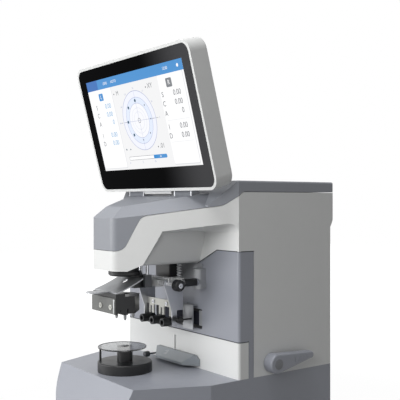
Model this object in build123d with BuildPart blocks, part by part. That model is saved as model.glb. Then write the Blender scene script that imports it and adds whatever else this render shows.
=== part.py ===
from build123d import *
from math import atan2, cos, degrees, radians, sin, sqrt
import os

os.makedirs("parts", exist_ok=True)

# Frame: X across with the lever side positive, Y from the nose to the rear, Z up from the table.
# Lengths are millimetres, angles are degrees.

# Fits and gaps
running_gap = 0.05
seat_gap = 0.3
seam_gap = 0.5
hinge_side_gap = 1.0

# Base
foot_radius = 9
foot_height = 5
foot_half_x = 60
foot_half_y = 92
foot_hole_radius = 2.2
base_front = -120
base_front_half = 66
base_front_radius = 22
base_shoulder_y = -40
base_shoulder_radius = 60
skirt_height = 17
deck_z = 108
deck_slope_depth = 14
deck_slope_start = 74
wall = 3
plate_thickness = 3
body_rear_radius = 4

# Column
column_half = 100
column_front = -7
column_depth = 123
column_corner_radius = 3
rear_overhang = 6
overhang_low = 250
overhang_high = 261

# Head, in plan and in height
nose_front = -97.5
nose_half = 20
nose_radius = 11
head_blend_radius = 30
nose_bottom = 209.5
seam_nose_z = 228.7
seam_nose_y = -89.7
seam_break_y = -76.3
seam_break_z = 262.2
seam_shoulder_y = -18
seam_shoulder_z = 272.5
seam_side_y = -2
seam_side_z = 285.5
seam_radius = 9
cover_top = 296.5
cover_edge_radius = 2
top_plane_y = -22
top_plane_z = 284
top_plane_slope = 0.2
rise_foot_y = -29
rise_foot_z = 273
bevel_front_z = 260
bevel_depth = 13
bevel_rise = 11.5
bevel_slope = 0.15

# Throat between the head and the base
chin_y = -87
chin_step_y = -75.4
chin_step_z = 216
band_top_y = -61.6
band_top_z = 247.5
wing_inner_x = 45
wing_inner_z = 246.8
wing_slope = 0.186
wing_root_radius = 9

# Head core
core_bottom = 215
core_bottom_half = 38
core_top_half = 48.5
core_top = 250
core_edge_radius = 4
core_wall = 2.5

# Front panels on the column
insert_bottom = 143
insert_side_top = 229
insert_shoulder_x = 66
insert_waist_x = 30
insert_waist_z = 212
wrap_depth = 18.6
leg_width = 6.2
recess_half = 7.5
recess_top = 135.5
recess_depth = 1.6
window_half = 42
window_bottom = 148
window_top = 168

# Optical axis, nose and lens holder
axis_y = -72
ring_radius = 16.5
ring_bore = 7
ring_bottom = 203
ring_thickness = 4
barrel_radius = 14
barrel_bore = 11
barrel_top = 256
beam_hole = 5
nose_disc_radius = 27
nose_disc_height = 10
post_radius = 7.75
post_top = 131.5
nose_plate_radius = 24
nose_plate_shift = 3
nose_plate_thickness = 1
plate_leg_radius = 1.1
plate_leg_angle = 233.5
post_bore = 4.2
holder_plate_width = 45
holder_plate_height = 15
holder_plate_thickness = 1.5
holder_plate_bottom = 168.5
holder_block_bottom = 168
holder_block_top = 187.7
holder_block_rear_top = 184.7
holder_block_front = -95.3
holder_block_step = -85
holder_block_shoulder = -74
holder_block_rear = -59
holder_block_rear_half = 6.5
holder_slot_y = -82
holder_slot_width = 1.3
holder_slot_depth = 4.8
holder_notch_rear = -89.5
holder_pin_pitch = 9.5
holder_pin_radius = 1.5
holder_tip_radius = 1.1
holder_tip_end = 159.5
socket_radius = 3.2
socket_bottom = 165
holder_sheet = 1.2
arm_half = 22
arm_low_y = -94
arm_mid_y = -76
arm_mid_z = 195.5
arm_high_z = 201.4
arm_hole = 3
tongue_length = 20
tongue_half = 8
bracket_half = 5
bracket_front = -64
bracket_rear = -46
bracket_low = 190
bracket_high = 202.5
cross_pin_radius = 1.8
cross_pin_z = 197
cross_pin_y = -59
cross_pin_overhang = 1.6
holder_rod_x = 6
holder_rod_y = -49.5
guide_rod_radius = 1.5
bush_radius = 3
bush_length = 10
screw_head_height = 1.4

# Marker
pivot_y = -38.5
pivot_z = 194.4
pivot_radius = 1.7
pivot_left = -28
knob_radius = 5.5
knob_inner_x = 41
knob_outer_x = 49
pivot_nut_radius = 2.6
side_arm_x = 25
arm_sheet = 1.2
arm_top_half = 4.2
arm_wing_rear = -19.5
arm_wing_top = 186
arm_wing_bottom = 167
arm_strip_front = -33
arm_strip_rear = -27
arm_strip_bottom = 152
comb_top = 176
comb_bar_bottom = 169
comb_y = -29
comb_sheet = 1.5
comb_bottom = 160
comb_slot_half = 1.6
comb_tooth_half = 4.6
pen_pitch = 19
pen_middle_x = 1
pen_radius = 4.25
pen_length = 15
pen_z = 155.2
pen_front = -41
pen_bore = 2.4
pen_bore_depth = 4
pen_clamp_half = 3.2
tip_radius = 1.5
tip_length = 5
bail_wire = 0.8
bail_top = 200.2
bail_left = -21
bail_right = 28.5
bail_corner = 1.5
inner_bail_left = -14.5
inner_bail_right = 22.5
inner_bail_top = 198.9
guide_half = 13
guide_front = -27
guide_rear = -17
guide_low = 199.5
marker_rod_x = 6
marker_rod_y = -22
marker_rod_top = 250
carriage_low = 190.5
carriage_front = -42
carriage_step_y = -30
carriage_front_top = 197.2
carriage_top = 199
spring_x = 23.1
spring_radius = 2.6
spring_core_radius = 1.2
spring_coils = 6
spring_ear = 28
boss_x = 42.7
boss_radius = 5.2
boss_low = 189.5
boss_high = 209.5
boss_base_left = 4
boss_base_low = 194.5
boss_base_high = 214
boss_base_sheet = 1.5
buffer_z = 196.5
buffer_shaft_radius = 3.35
pad_plate_left = 16.7
pad_plate_right = 34.2
pad_plate_bottom = 147.2
pad_plate_top = 172
pad_plate_y = -13
pad_plate_sheet = 0.9
stopper_x = 31.5
stopper_z = 158
stopper_rod_radius = 0.9
stopper_rod_length = 12
stopper_length = 6
stopper_radius = 3.6
pad_recess = 1

# Lens table and its lever
table_half = 39
table_front_half = 24
table_back_gap = 0.6
table_depth = 12
table_top = 121
table_bottom = 110.5
table_nose_z = 113
table_end_x = 33
table_end_z = 117.2
table_travel = 24
groove_depth = 0.8
groove_width = 1.2
groove_inset = 2.4
rail_x = 24
rail_z = 114.5
rail_radius = 2.5
rail_end_y = 48
rail_block_front = 2
rail_block_length = 12
rail_block_half = 5
lever_y = 33
lever_z = 120
lever_shaft_radius = 4
lever_hub_radius = 9.5
lever_outer_x = 112
lever_hub_gap = 0.5
lever_grip_y = 77
lever_grip_z = 124
lever_grip_radius = 3.6
lever_grip_width = 8
crank_radius = 22
crank_inner_x = 31
crank_sheet = 4
crank_pin_radius = 2
yoke_inner_x = 25
yoke_sheet = 5
yoke_slot_gap = 0.5
lever_bracket_x = 37
lever_bracket_sheet = 3
lever_bush_radius = 7

# Monitor
monitor_width = 214
monitor_height = 139
monitor_depth = 20
monitor_lean = 14.6
monitor_corner_radius = 12
monitor_edge_radius = 1.6
monitor_wall = 2
hinge_y = -27
hinge_z = 301
hinge_above_edge = 11
hinge_before_back = 7
bezel_width = 2.8
bezel_depth = 1.6
glass_thickness = 1.2
lcd_half_width = 91
lcd_height = 99
lcd_bottom = 24.2
lcd_thickness = 3.5
hinge_shaft_radius = 2.5
hinge_eye_radius = 4.2
stand_inner_x = 29.5
stand_outer_x = 56.5
stand_half_depth = 5
stand_plate = 1.2
notch_front = 9
hinge_lip_half = 25
hinge_lip_drop = 3.6
hinge_lip_depth = 7

# Inside
spine_half = 60
spine_y = 60
spine_sheet = 2
spine_top = 279
beam_half = 13
beam_front = -84
beam_z = 256
led_board_radius = 9
board_thickness = 1.6
main_board_half = 52
main_board_low = 130
main_board_high = 240
main_board_gap = 5
standoff_radius = 2.5
supply_half = 45
supply_depth = 60
supply_height = 36
supply_front = 20
receiver_radius = 15
receiver_bore = 12
receiver_bottom = 58
sensor_half = 20
lens_rim = 1.2

# Rear panel and controls
rear_panel_half = 48
rear_panel_low = 30
rear_panel_high = 62
rear_panel_sheet = 1.5
inlet_x = -28
inlet_half = 13.5
inlet_half_height = 9.5
inlet_depth = 20
inlet_wall = 1.6
inlet_pin_length = 10
switch_x = 2
switch_half = 6.5
switch_half_height = 9.5
rocker_gap = 0.4
rocker_angle = 8
port_x = 30
port_half = 9
port_half_height = 5
port_depth = 10
button_radius = 9
button_travel = 2
button_z = 46
button_proud = 2
button_collar = 2.4
service_half = 62
service_low = 132
service_high = 236
service_sheet = 1.5
vent_count = 9
vent_width = 3
vent_low = 150
vent_high = 214
vent_half_length = 34

# Derived sizes
column_rear = column_front + column_depth
upper_rear = column_rear + rear_overhang
skirt_bottom = foot_height
skirt_top = skirt_bottom + skirt_height
wrap_rear = column_front + wrap_depth
core_front = chin_step_y
above_everything = cover_top + monitor_height


def save(part, label):
    """Label one finished piece and write it."""
    part.label = label
    export_step(part, "parts/" + label + ".step")


def mirrored_line(points):
    """Close an outline that is given by its right half."""
    return points + [(-x, y) for x, y in reversed(points)]


def head_plan(shrink=0):
    """Plan of the head and the column as one outline."""
    right_half = [(nose_half, nose_front), (column_half, column_front), (column_half, column_rear)]
    with BuildSketch() as plan:
        with BuildLine():
            Polyline(*mirrored_line(right_half), close=True)
        make_face()
        rows = plan.vertices().group_by(Axis.Y)
        fillet(rows[0], nose_radius)
        fillet(rows[1], head_blend_radius)
        fillet(rows[2], body_rear_radius)
        if shrink:
            offset(amount=-shrink, mode=Mode.REPLACE)
    return plan.sketch


def column_plan(shrink=0):
    """Plan of the column alone."""
    with BuildSketch() as plan:
        with BuildLine():
            right_half = [(column_half, column_front), (column_half, column_rear)]
            Polyline(*mirrored_line(right_half), close=True)
        make_face()
        rows = plan.vertices().group_by(Axis.Y)
        fillet(rows[0], column_corner_radius)
        fillet(rows[1], body_rear_radius)
        if shrink:
            offset(amount=-shrink, mode=Mode.REPLACE)
    return plan.sketch


def base_plan(shrink=0):
    """Plan of the base: as wide as the column behind, narrower in front."""
    right_half = [
        (base_front_half, base_front),
        (column_half, base_shoulder_y),
        (column_half, column_rear),
    ]
    with BuildSketch() as plan:
        with BuildLine():
            Polyline(*mirrored_line(right_half), close=True)
        make_face()
        rows = plan.vertices().group_by(Axis.Y)
        fillet(rows[0], base_front_radius)
        fillet(rows[1], base_shoulder_radius)
        fillet(rows[2], body_rear_radius)
        if shrink:
            offset(amount=-shrink, mode=Mode.REPLACE)
    return plan.sketch


def side_prism(points, half_width, rounded=()):
    """Side view outline in the Y Z plane run across X; rounded lists (corner number, radius)."""
    with BuildPart() as prism:
        with BuildSketch(Plane.YZ.offset(-half_width)) as outline:
            with BuildLine():
                Polyline(*points, close=True)
            make_face()
            for corner, radius in rounded:
                fillet(outline.vertices().sort_by_distance(Vector(*points[corner], 0))[0], radius)
        extrude(amount=2 * half_width)
    return prism.part


def above_seam(lift=0):
    """Everything above the seam of the top cover, seen from the side."""
    low = base_front - wall
    high = upper_rear + wall
    points = [
        (low, seam_nose_z + lift),
        (seam_nose_y, seam_nose_z + lift),
        (seam_break_y, seam_break_z + lift),
        (seam_shoulder_y, seam_shoulder_z + lift),
        (seam_side_y, seam_side_z + lift),
        (high, seam_side_z + lift),
        (high, above_everything),
        (low, above_everything),
    ]
    rounded = [(number, seam_radius) for number in (1, 2, 3, 4)]
    return side_prism(points, column_half + 2 * wall, rounded)


def throat(grow=0):
    """Space under the head: a side view cut and the sloped undersides of the wings."""
    side_points = [
        (base_front - wall, deck_z - wall),
        (base_front - wall, nose_bottom + grow),
        (chin_y + grow / 4, nose_bottom + grow),
        (chin_step_y + grow / 2, chin_step_z + grow),
        (band_top_y + grow, band_top_z + grow),
        (band_top_y + grow + grow, seam_shoulder_z),
        (column_front + grow, seam_shoulder_z),
        (column_front + grow, deck_z - wall),
    ]
    outer_x = column_half + 2 * wall
    outer_z = wing_inner_z + (outer_x - wing_inner_x) * wing_slope + grow
    wing_points = [
        (outer_x, deck_z - wall),
        (outer_x, outer_z),
        (wing_inner_x, wing_inner_z + grow),
    ]
    with BuildPart() as space:
        with BuildSketch(Plane.XZ.offset(-column_rear)):
            with BuildLine():
                Polyline(*mirrored_line(wing_points), close=True)
            make_face()
        extrude(amount=2 * column_depth)
        add(side_prism(side_points, outer_x), mode=Mode.INTERSECT)
    return space.part


def rear_overhang_block(shrink=0):
    """Upper rear of the housing, which stands out behind the lower column."""
    middle = (column_front + column_rear) / 2
    points = [
        (middle, overhang_low + shrink),
        (column_rear - shrink, overhang_low + shrink),
        (upper_rear - shrink, overhang_high),
        (upper_rear - shrink, cover_top - shrink),
        (middle, cover_top - shrink),
    ]
    with BuildPart() as block:
        with BuildSketch(Plane.XY.offset(overhang_low)):
            with BuildLine():
                half = column_half - shrink
                Polyline(*mirrored_line([(half, middle), (half, upper_rear - shrink)]), close=True)
            make_face()
        extrude(amount=cover_top - overhang_low)
        fillet(block.edges().filter_by(Axis.Z).group_by(Axis.Y)[-1], body_rear_radius - shrink / 2)
        add(side_prism(points, column_half + wall), mode=Mode.INTERSECT)
    return block.part


def core_block(shrink=0, floor=0, rear=column_front):
    """Head core as a solid block with a drafted section and a front that leans with the throat."""
    lean_run = (band_top_y - chin_step_y) / (band_top_z - chin_step_z)
    low, high = core_bottom - wall, core_top + wall
    front = core_front + shrink
    side_points = [
        (front, low),
        (front, chin_step_z),
        (front + lean_run * (high - chin_step_z), high),
        (rear, high),
        (rear, low),
    ]
    section = [
        (core_bottom_half - shrink, core_bottom + floor),
        (core_top_half - shrink, core_top + seam_gap),
    ]
    with BuildPart() as block:
        with BuildSketch(Plane.XZ.offset(-rear)) as front_view:
            with BuildLine():
                Polyline(*mirrored_line(section), close=True)
            make_face()
            fillet(front_view.vertices().group_by(Axis.Z)[0], core_edge_radius)
        extrude(amount=rear - front)
        with BuildSketch(Plane.XY.offset(low)):
            add(head_plan(shrink))
        extrude(amount=high - low, mode=Mode.INTERSECT)
        add(side_prism(side_points, column_half), mode=Mode.INTERSECT)
    return block.part


def panel_zone(gap=0):
    """Part of the column front that the two front panels cover."""
    outline = [
        (column_half + wall, deck_z - wall),
        (column_half + wall, insert_side_top - gap),
        (insert_shoulder_x + gap, insert_side_top - gap),
        (insert_waist_x + gap, insert_waist_z - gap),
    ]
    with BuildPart() as zone:
        with BuildSketch(Plane.XZ.offset(-wrap_rear + gap)):
            with BuildLine():
                Polyline(*mirrored_line(outline), close=True)
            make_face()
        extrude(amount=wrap_depth + wall)
    return zone.part


def lower_panel_zone(gap):
    """Space of the lower panel in front of the side legs."""
    depth = wrap_depth - leg_width - gap
    with BuildPart() as zone:
        with BuildSketch(Plane.XY.offset(deck_z)):
            with Locations((0, column_front + depth / 2 - wall / 2)):
                Rectangle(2 * (column_half + wall), depth + wall)
        extrude(amount=insert_bottom - deck_z - gap)
    return zone.part


def bevel_plane(side, shrink):
    """Plane that cuts the bevel along one slanted side of the head."""
    run_x, run_y = column_half - nose_half, column_front - nose_front
    length = sqrt(run_x**2 + run_y**2)
    along_x, along_y = run_x / length, run_y / length
    along = Vector(along_x, along_y, bevel_slope * along_y)
    inward = Vector(-along_y * bevel_depth, along_x * bevel_depth, bevel_rise)
    normal = along.cross(inward).normalized()
    start = Vector(nose_half, nose_front, bevel_front_z) - normal * shrink
    if side < 0:
        start = Vector(-start.X, start.Y, start.Z)
        normal = Vector(-normal.X, normal.Y, normal.Z)
    return Plane(origin=start, z_dir=normal)


def cover_block(shrink=0):
    """Whole top of the device as a solid, moved inwards by shrink."""
    front_normal = Vector(0, -bevel_rise, bevel_depth).normalized()
    front_start = Vector(0, nose_front, bevel_front_z) - front_normal * shrink
    low = seam_nose_z - wall
    top_end_y = column_front
    top_start_y = nose_front - wall
    top_points = [
        (top_start_y, low),
        (top_start_y, top_plane_z + (top_start_y - top_plane_y) * top_plane_slope - shrink),
        (top_end_y, top_plane_z + (top_end_y - top_plane_y) * top_plane_slope - shrink),
        (top_end_y, low),
    ]
    rise_run = column_front - rise_foot_y
    rise_shift = shrink * sqrt(1 + (rise_run / (cover_top - rise_foot_z)) ** 2)
    cap_points = [
        (rise_foot_y + rise_shift, low),
        (rise_foot_y + rise_shift, rise_foot_z),
        (column_front + rise_shift, cover_top),
        (column_front + rise_shift, cover_top - shrink),
        (upper_rear + wall, cover_top - shrink),
        (upper_rear + wall, low),
    ]
    if shrink:
        cap_points.pop(2)
        slope = rise_run / (cover_top - rise_foot_z)
        cap_points[2] = (column_front + rise_shift - shrink * slope, cover_top - shrink)
    else:
        cap_points.pop(3)
    with BuildPart() as head_part:
        with BuildSketch(Plane.XY.offset(low)):
            add(head_plan(shrink))
        extrude(amount=cover_top - low)
        add(side_prism(top_points, column_half + wall), mode=Mode.INTERSECT)
        split(bisect_by=Plane(origin=front_start, z_dir=front_normal), keep=Keep.BOTTOM)
        split(bisect_by=bevel_plane(1, shrink), keep=Keep.BOTTOM)
        split(bisect_by=bevel_plane(-1, shrink), keep=Keep.BOTTOM)
    with BuildPart() as cap_part:
        with BuildSketch(Plane.XY.offset(low)):
            add(head_plan(shrink))
        extrude(amount=cover_top - low)
        add(rear_overhang_block(shrink))
        add(side_prism(cap_points, column_half + wall), mode=Mode.INTERSECT)
        add(head_part.part)
    return cap_part.part


# Base: skirt, shell, plate and feet
with BuildPart() as base_skirt:
    with BuildSketch(Plane.XY.offset(skirt_bottom)):
        add(base_plan())
        add(base_plan(wall), mode=Mode.SUBTRACT)
    extrude(amount=skirt_height)
    edges_out = base_skirt.faces().sort_by(Axis.Z)[0].outer_wire().edges()
    chamfer(edges_out, wall / 3)
save(base_skirt.part, "base_skirt")

slope_end_y = base_front + deck_slope_depth
slope_cut = [
    (base_front - wall, deck_slope_start),
    (base_front, deck_slope_start),
    (slope_end_y, deck_z),
    (slope_end_y, deck_z + wall),
    (base_front - wall, deck_z + wall),
]
with BuildPart() as base_hollow:
    with BuildSketch(Plane.XY.offset(skirt_top)):
        add(base_plan(wall))
    extrude(amount=deck_z - wall - skirt_top)
    inner_cut = side_prism(slope_cut, column_half + wall).moved(Location((0, wall, -wall)))
    add(inner_cut, mode=Mode.SUBTRACT)

with BuildPart() as base_shell:
    with BuildSketch(Plane.XY.offset(skirt_top)):
        add(base_plan())
    extrude(amount=deck_z - skirt_top)
    add(side_prism(slope_cut, column_half + wall), mode=Mode.SUBTRACT)
    add(base_hollow.part, mode=Mode.SUBTRACT)
    with Locations((0, axis_y, deck_z)):
        Hole(radius=post_bore)
    with BuildSketch(Plane.XZ.offset(-base_front)):
        with Locations((0, button_z)):
            Circle(button_radius + seam_gap)
    extrude(amount=-2 * wall, mode=Mode.SUBTRACT)
    rear_mid = (rear_panel_low + rear_panel_high) / 2
    with BuildSketch(Plane.XZ.offset(-column_rear)):
        with Locations((inlet_x, rear_mid)):
            Rectangle(2 * (inlet_half + seat_gap), 2 * (inlet_half_height + seat_gap))
        with Locations((switch_x, rear_mid)):
            Rectangle(2 * (switch_half + seat_gap), 2 * (switch_half_height + seat_gap))
        with Locations((port_x, rear_mid)):
            Rectangle(2 * (port_half + seat_gap), 2 * (port_half_height + seat_gap))
    extrude(amount=2 * wall, mode=Mode.SUBTRACT)
save(base_shell.part, "base_shell")

with BuildPart() as base_plate:
    with BuildSketch(Plane.XY.offset(skirt_bottom)):
        add(base_plan(wall + seat_gap))
        with GridLocations(2 * foot_half_x, 2 * foot_half_y, 2, 2):
            Circle(foot_hole_radius, mode=Mode.SUBTRACT)
    extrude(amount=plate_thickness)
save(base_plate.part, "base_plate")

with BuildPart() as rubber_feet:
    with BuildSketch():
        with GridLocations(2 * foot_half_x, 2 * foot_half_y, 2, 2):
            Circle(foot_radius)
            Circle(foot_hole_radius, mode=Mode.SUBTRACT)
    extrude(amount=foot_height)
    rims = rubber_feet.edges().filter_by(GeomType.CIRCLE).group_by(Axis.Z)[0]
    fillet(rims.filter_by(lambda edge: edge.radius > foot_hole_radius), foot_height / 4)
save(rubber_feet.part, "rubber_feet")

# Main housing: column sides and rear with the light band of the head
with BuildPart() as housing_hollow:
    with BuildSketch(Plane.XY.offset(deck_z)):
        add(head_plan(wall))
    extrude(amount=cover_top - deck_z)
    add(throat(wall), mode=Mode.SUBTRACT)
    add(rear_overhang_block(wall))

with BuildPart() as main_housing:
    with BuildSketch(Plane.XY.offset(deck_z)):
        add(head_plan())
    extrude(amount=cover_top - deck_z)
    add(rear_overhang_block())
    add(throat(), mode=Mode.SUBTRACT)
    root_edges = main_housing.edges().filter_by(
        lambda edge: abs(edge.center().Y - column_front) < wall
        and band_top_z < edge.center().Z < seam_shoulder_z
        and abs(edge.center().X) > wing_inner_x
        and edge.length > column_half / 3
    )
    fillet(root_edges, wing_root_radius)
    add(housing_hollow.part, mode=Mode.SUBTRACT)
    add(above_seam(), mode=Mode.SUBTRACT)
    add(panel_zone(), mode=Mode.SUBTRACT)
    add(core_block(-seat_gap, -seat_gap, column_front), mode=Mode.SUBTRACT)
    with BuildSketch(Plane.XY.offset(ring_bottom)):
        with Locations((0, axis_y)):
            Circle(barrel_radius + seat_gap)
    extrude(amount=core_top - ring_bottom, mode=Mode.SUBTRACT)
    with BuildSketch(Plane.YZ.offset(column_half - 2 * wall)):
        with Locations((lever_y, lever_z)):
            Circle(lever_bush_radius)
    extrude(amount=3 * wall, mode=Mode.SUBTRACT)
    with BuildSketch(Plane.XZ.offset(-column_rear)):
        with Locations((0, (vent_low + vent_high) / 2)):
            Rectangle(2 * vent_half_length + wall, vent_high - vent_low + wall)
    extrude(amount=2 * wall, mode=Mode.SUBTRACT)
save(main_housing.part, "main_housing")

# Top cover: nose, bevels, sloping top, rise and flat housing top
with BuildPart() as top_cover:
    add(cover_block())
    top_face = top_cover.faces().filter_by(Axis.Z).sort_by(Axis.Z)[-1]
    fillet(top_face.edges(), cover_edge_radius)
    add(cover_block(wall), mode=Mode.SUBTRACT)
    add(above_seam(seam_gap), mode=Mode.INTERSECT)
save(top_cover.part, "top_cover")

# Head core
with BuildPart() as head_core:
    add(core_block())
    add(core_block(core_wall, core_wall), mode=Mode.SUBTRACT)
    with BuildSketch(Plane.XY.offset(core_bottom - wall)):
        with Locations((0, axis_y)):
            Circle(barrel_radius + seat_gap)
        with Locations((-marker_rod_x, marker_rod_y), (marker_rod_x, marker_rod_y)):
            Circle(guide_rod_radius + seat_gap)
    extrude(amount=core_top - core_bottom + 2 * wall, mode=Mode.SUBTRACT)
    with BuildSketch(Plane.XY.offset(core_bottom)):
        with Locations((-holder_rod_x, holder_rod_y), (holder_rod_x, holder_rod_y)):
            Circle(bush_radius)
    extrude(amount=bush_length)
    with BuildSketch(Plane.XY.offset(core_bottom)):
        with Locations((-holder_rod_x, holder_rod_y), (holder_rod_x, holder_rod_y)):
            Circle(guide_rod_radius + running_gap)
    extrude(amount=bush_length, mode=Mode.SUBTRACT)
save(head_core.part, "head_core")

# Front panels: insert with its side legs, and the lower panel
with BuildPart() as column_skin:
    with BuildSketch(Plane.XY.offset(deck_z)):
        add(column_plan())
        add(column_plan(wall), mode=Mode.SUBTRACT)
    extrude(amount=insert_side_top - deck_z)
    add(panel_zone(seam_gap), mode=Mode.INTERSECT)

window_mid = (window_bottom + window_top) / 2
window_height = window_top - window_bottom
with BuildPart() as front_insert:
    add(column_skin.part)
    add(lower_panel_zone(0), mode=Mode.SUBTRACT)
    with BuildSketch(Plane.XZ.offset(-column_front)):
        with Locations((0, window_mid)):
            RectangleRounded(2 * window_half, window_height, wall / 2)
    extrude(amount=-wall, mode=Mode.SUBTRACT)
save(front_insert.part, "front_insert")

with BuildPart() as lower_panel:
    add(column_skin.part)
    add(lower_panel_zone(seam_gap), mode=Mode.INTERSECT)
    with BuildSketch(Plane.XZ.offset(-column_front)):
        with Locations((0, (deck_z + recess_top) / 2)):
            Rectangle(2 * recess_half, recess_top - deck_z)
    extrude(amount=-recess_depth, mode=Mode.SUBTRACT)
    with BuildSketch(Plane.XZ.offset(-column_front)):
        with Locations((-rail_x, rail_z), (rail_x, rail_z)):
            Circle(rail_radius + seat_gap)
    extrude(amount=-wall, mode=Mode.SUBTRACT)
save(lower_panel.part, "lower_panel")

# Ink pad cartridge in the window
pad_face = column_front + pad_recess
with BuildPart() as ink_pad:
    with BuildSketch(Plane.XZ.offset(-pad_face)):
        with Locations((0, window_mid)):
            tray_width = 2 * (window_half - seat_gap)
            tray_height = window_height - 2 * seat_gap
            RectangleRounded(tray_width, tray_height, wall / 2 - seat_gap)
    extrude(amount=-4 * wall)
    with BuildSketch(Plane.XZ.offset(-pad_face)):
        with Locations((0, window_mid)):
            Rectangle(2 * (window_half - wall), window_height - 2 * wall)
    extrude(amount=-pad_recess, mode=Mode.SUBTRACT)
save(ink_pad.part, "ink_pad")

# Optics in the head
with BuildPart() as emitter_barrel:
    with BuildSketch(Plane.XY.offset(ring_bottom + ring_thickness)):
        with Locations((0, axis_y)):
            Circle(barrel_radius)
            Circle(barrel_bore, mode=Mode.SUBTRACT)
    extrude(amount=barrel_top - ring_bottom - ring_thickness)
save(emitter_barrel.part, "emitter_barrel")

with BuildPart() as aperture_ring:
    with BuildSketch(Plane.XY.offset(ring_bottom)):
        with Locations((0, axis_y)):
            Circle(ring_radius)
            Circle(ring_bore, mode=Mode.SUBTRACT)
    extrude(amount=ring_thickness)
    rim = aperture_ring.edges().filter_by(GeomType.CIRCLE).group_by(Axis.Z)[0].sort_by(SortBy.RADIUS)
    chamfer(rim[-1], ring_thickness / 3)
save(aperture_ring.part, "aperture_ring")

lens_mid = (ring_bottom + barrel_top) / 2
lens_reach = barrel_bore - running_gap
lens_sphere = (lens_reach**2 + lens_rim**2) / (2 * lens_rim)
with BuildPart() as collimator_lens:
    with Locations((0, axis_y, lens_mid)):
        Cylinder(lens_reach, 4 * lens_rim)
    for side in (-1, 1):
        with Locations((0, axis_y, lens_mid + side * (2 * lens_rim - lens_sphere))):
            Sphere(lens_sphere, mode=Mode.INTERSECT)
save(collimator_lens.part, "collimator_lens")

with BuildPart() as optics_beam:
    with BuildSketch(Plane.XY.offset(beam_z)):
        with Locations((0, (beam_front + spine_y) / 2)):
            Rectangle(2 * beam_half, spine_y - beam_front)
        with Locations((0, axis_y)):
            Circle(beam_hole, mode=Mode.SUBTRACT)
        with Locations((-holder_rod_x, holder_rod_y), (holder_rod_x, holder_rod_y)):
            Circle(guide_rod_radius + running_gap, mode=Mode.SUBTRACT)
    extrude(amount=plate_thickness)
save(optics_beam.part, "optics_beam")

with BuildPart() as led_board:
    with BuildSketch(Plane.XY.offset(beam_z + plate_thickness)):
        with Locations((0, axis_y)):
            Circle(led_board_radius)
    extrude(amount=board_thickness)
save(led_board.part, "led_board")

# Nose and the optics in the base
disc_top = deck_z + nose_disc_height
with BuildPart() as nose_disc:
    with BuildSketch(Plane.XY.offset(deck_z)):
        with Locations((0, axis_y)):
            Circle(nose_disc_radius)
            Circle(post_bore, mode=Mode.SUBTRACT)
    extrude(amount=nose_disc_height)
    tops = nose_disc.edges().filter_by(GeomType.CIRCLE).group_by(Axis.Z)[-1].sort_by(SortBy.RADIUS)
    fillet(tops[-1], nose_disc_height / 8)
save(nose_disc.part, "nose_disc")

nose_plate_y = axis_y - nose_plate_shift
with BuildPart() as nose_post:
    with BuildSketch(Plane.XY.offset(disc_top)):
        with Locations((0, axis_y)):
            Circle(post_radius)
            Circle(post_bore, mode=Mode.SUBTRACT)
    extrude(amount=post_top - disc_top)
    leg_reach = nose_plate_radius - 2 * plate_leg_radius
    with BuildSketch(Plane.XY.offset(disc_top)):
        with Locations((0, nose_plate_y)):
            with PolarLocations(leg_reach, 1, plate_leg_angle):
                Circle(plate_leg_radius)
    extrude(amount=post_top - disc_top)
save(nose_post.part, "nose_post")

with BuildPart() as nose_plate:
    with BuildSketch(Plane.XY.offset(post_top)):
        with Locations((0, nose_plate_y)):
            Circle(nose_plate_radius)
        with Locations((0, axis_y)):
            Circle(post_bore, mode=Mode.SUBTRACT)
    extrude(amount=nose_plate_thickness)
save(nose_plate.part, "nose_plate")

with BuildPart() as receiver_barrel:
    with BuildSketch(Plane.XY.offset(receiver_bottom)):
        with Locations((0, axis_y)):
            Circle(receiver_radius)
            Circle(receiver_bore, mode=Mode.SUBTRACT)
    extrude(amount=deck_z - wall - receiver_bottom)
save(receiver_barrel.part, "receiver_barrel")

with BuildPart() as sensor_board:
    with BuildSketch(Plane.XY.offset(receiver_bottom - board_thickness)):
        with Locations((0, axis_y)):
            Rectangle(2 * sensor_half, 2 * sensor_half)
    extrude(amount=board_thickness)
save(sensor_board.part, "sensor_board")

plate_top = skirt_bottom + plate_thickness
# Column inside: spine, main board, power supply
with BuildPart() as spine:
    with BuildSketch(Plane.XZ.offset(-spine_y)):
        with Locations((0, (deck_z + spine_top) / 2)):
            Rectangle(2 * spine_half, spine_top - deck_z)
    extrude(amount=-spine_sheet)
    with BuildSketch(Plane.XY.offset(deck_z)):
        with Locations((0, spine_y + spine_sheet + 2 * main_board_gap)):
            Rectangle(2 * spine_half, 4 * main_board_gap)
    extrude(amount=spine_sheet)
save(spine.part, "spine")

board_face_y = spine_y - main_board_gap
board_mid = (main_board_low + main_board_high) / 2
board_height = main_board_high - main_board_low
post_pitch_x = 2 * (main_board_half - 2 * standoff_radius)
post_pitch_z = board_height - 4 * standoff_radius
with BuildPart() as main_board:
    with BuildSketch(Plane.XZ.offset(-board_face_y)):
        with Locations((0, board_mid)):
            Rectangle(2 * main_board_half, board_height)
    extrude(amount=board_thickness)
    with BuildSketch(Plane.XZ.offset(-board_face_y)):
        with Locations((0, board_mid)):
            with GridLocations(post_pitch_x, post_pitch_z, 2, 2):
                Circle(standoff_radius)
    extrude(amount=-main_board_gap)
save(main_board.part, "main_board")

with BuildPart() as power_supply:
    with BuildSketch(Plane.XY.offset(plate_top)):
        with Locations((0, supply_front + supply_depth / 2)):
            Rectangle(2 * supply_half, supply_depth)
    extrude(amount=supply_height)
    chamfer(power_supply.edges().group_by(Axis.Z)[-1], wall / 3)
save(power_supply.part, "power_supply")

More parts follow.
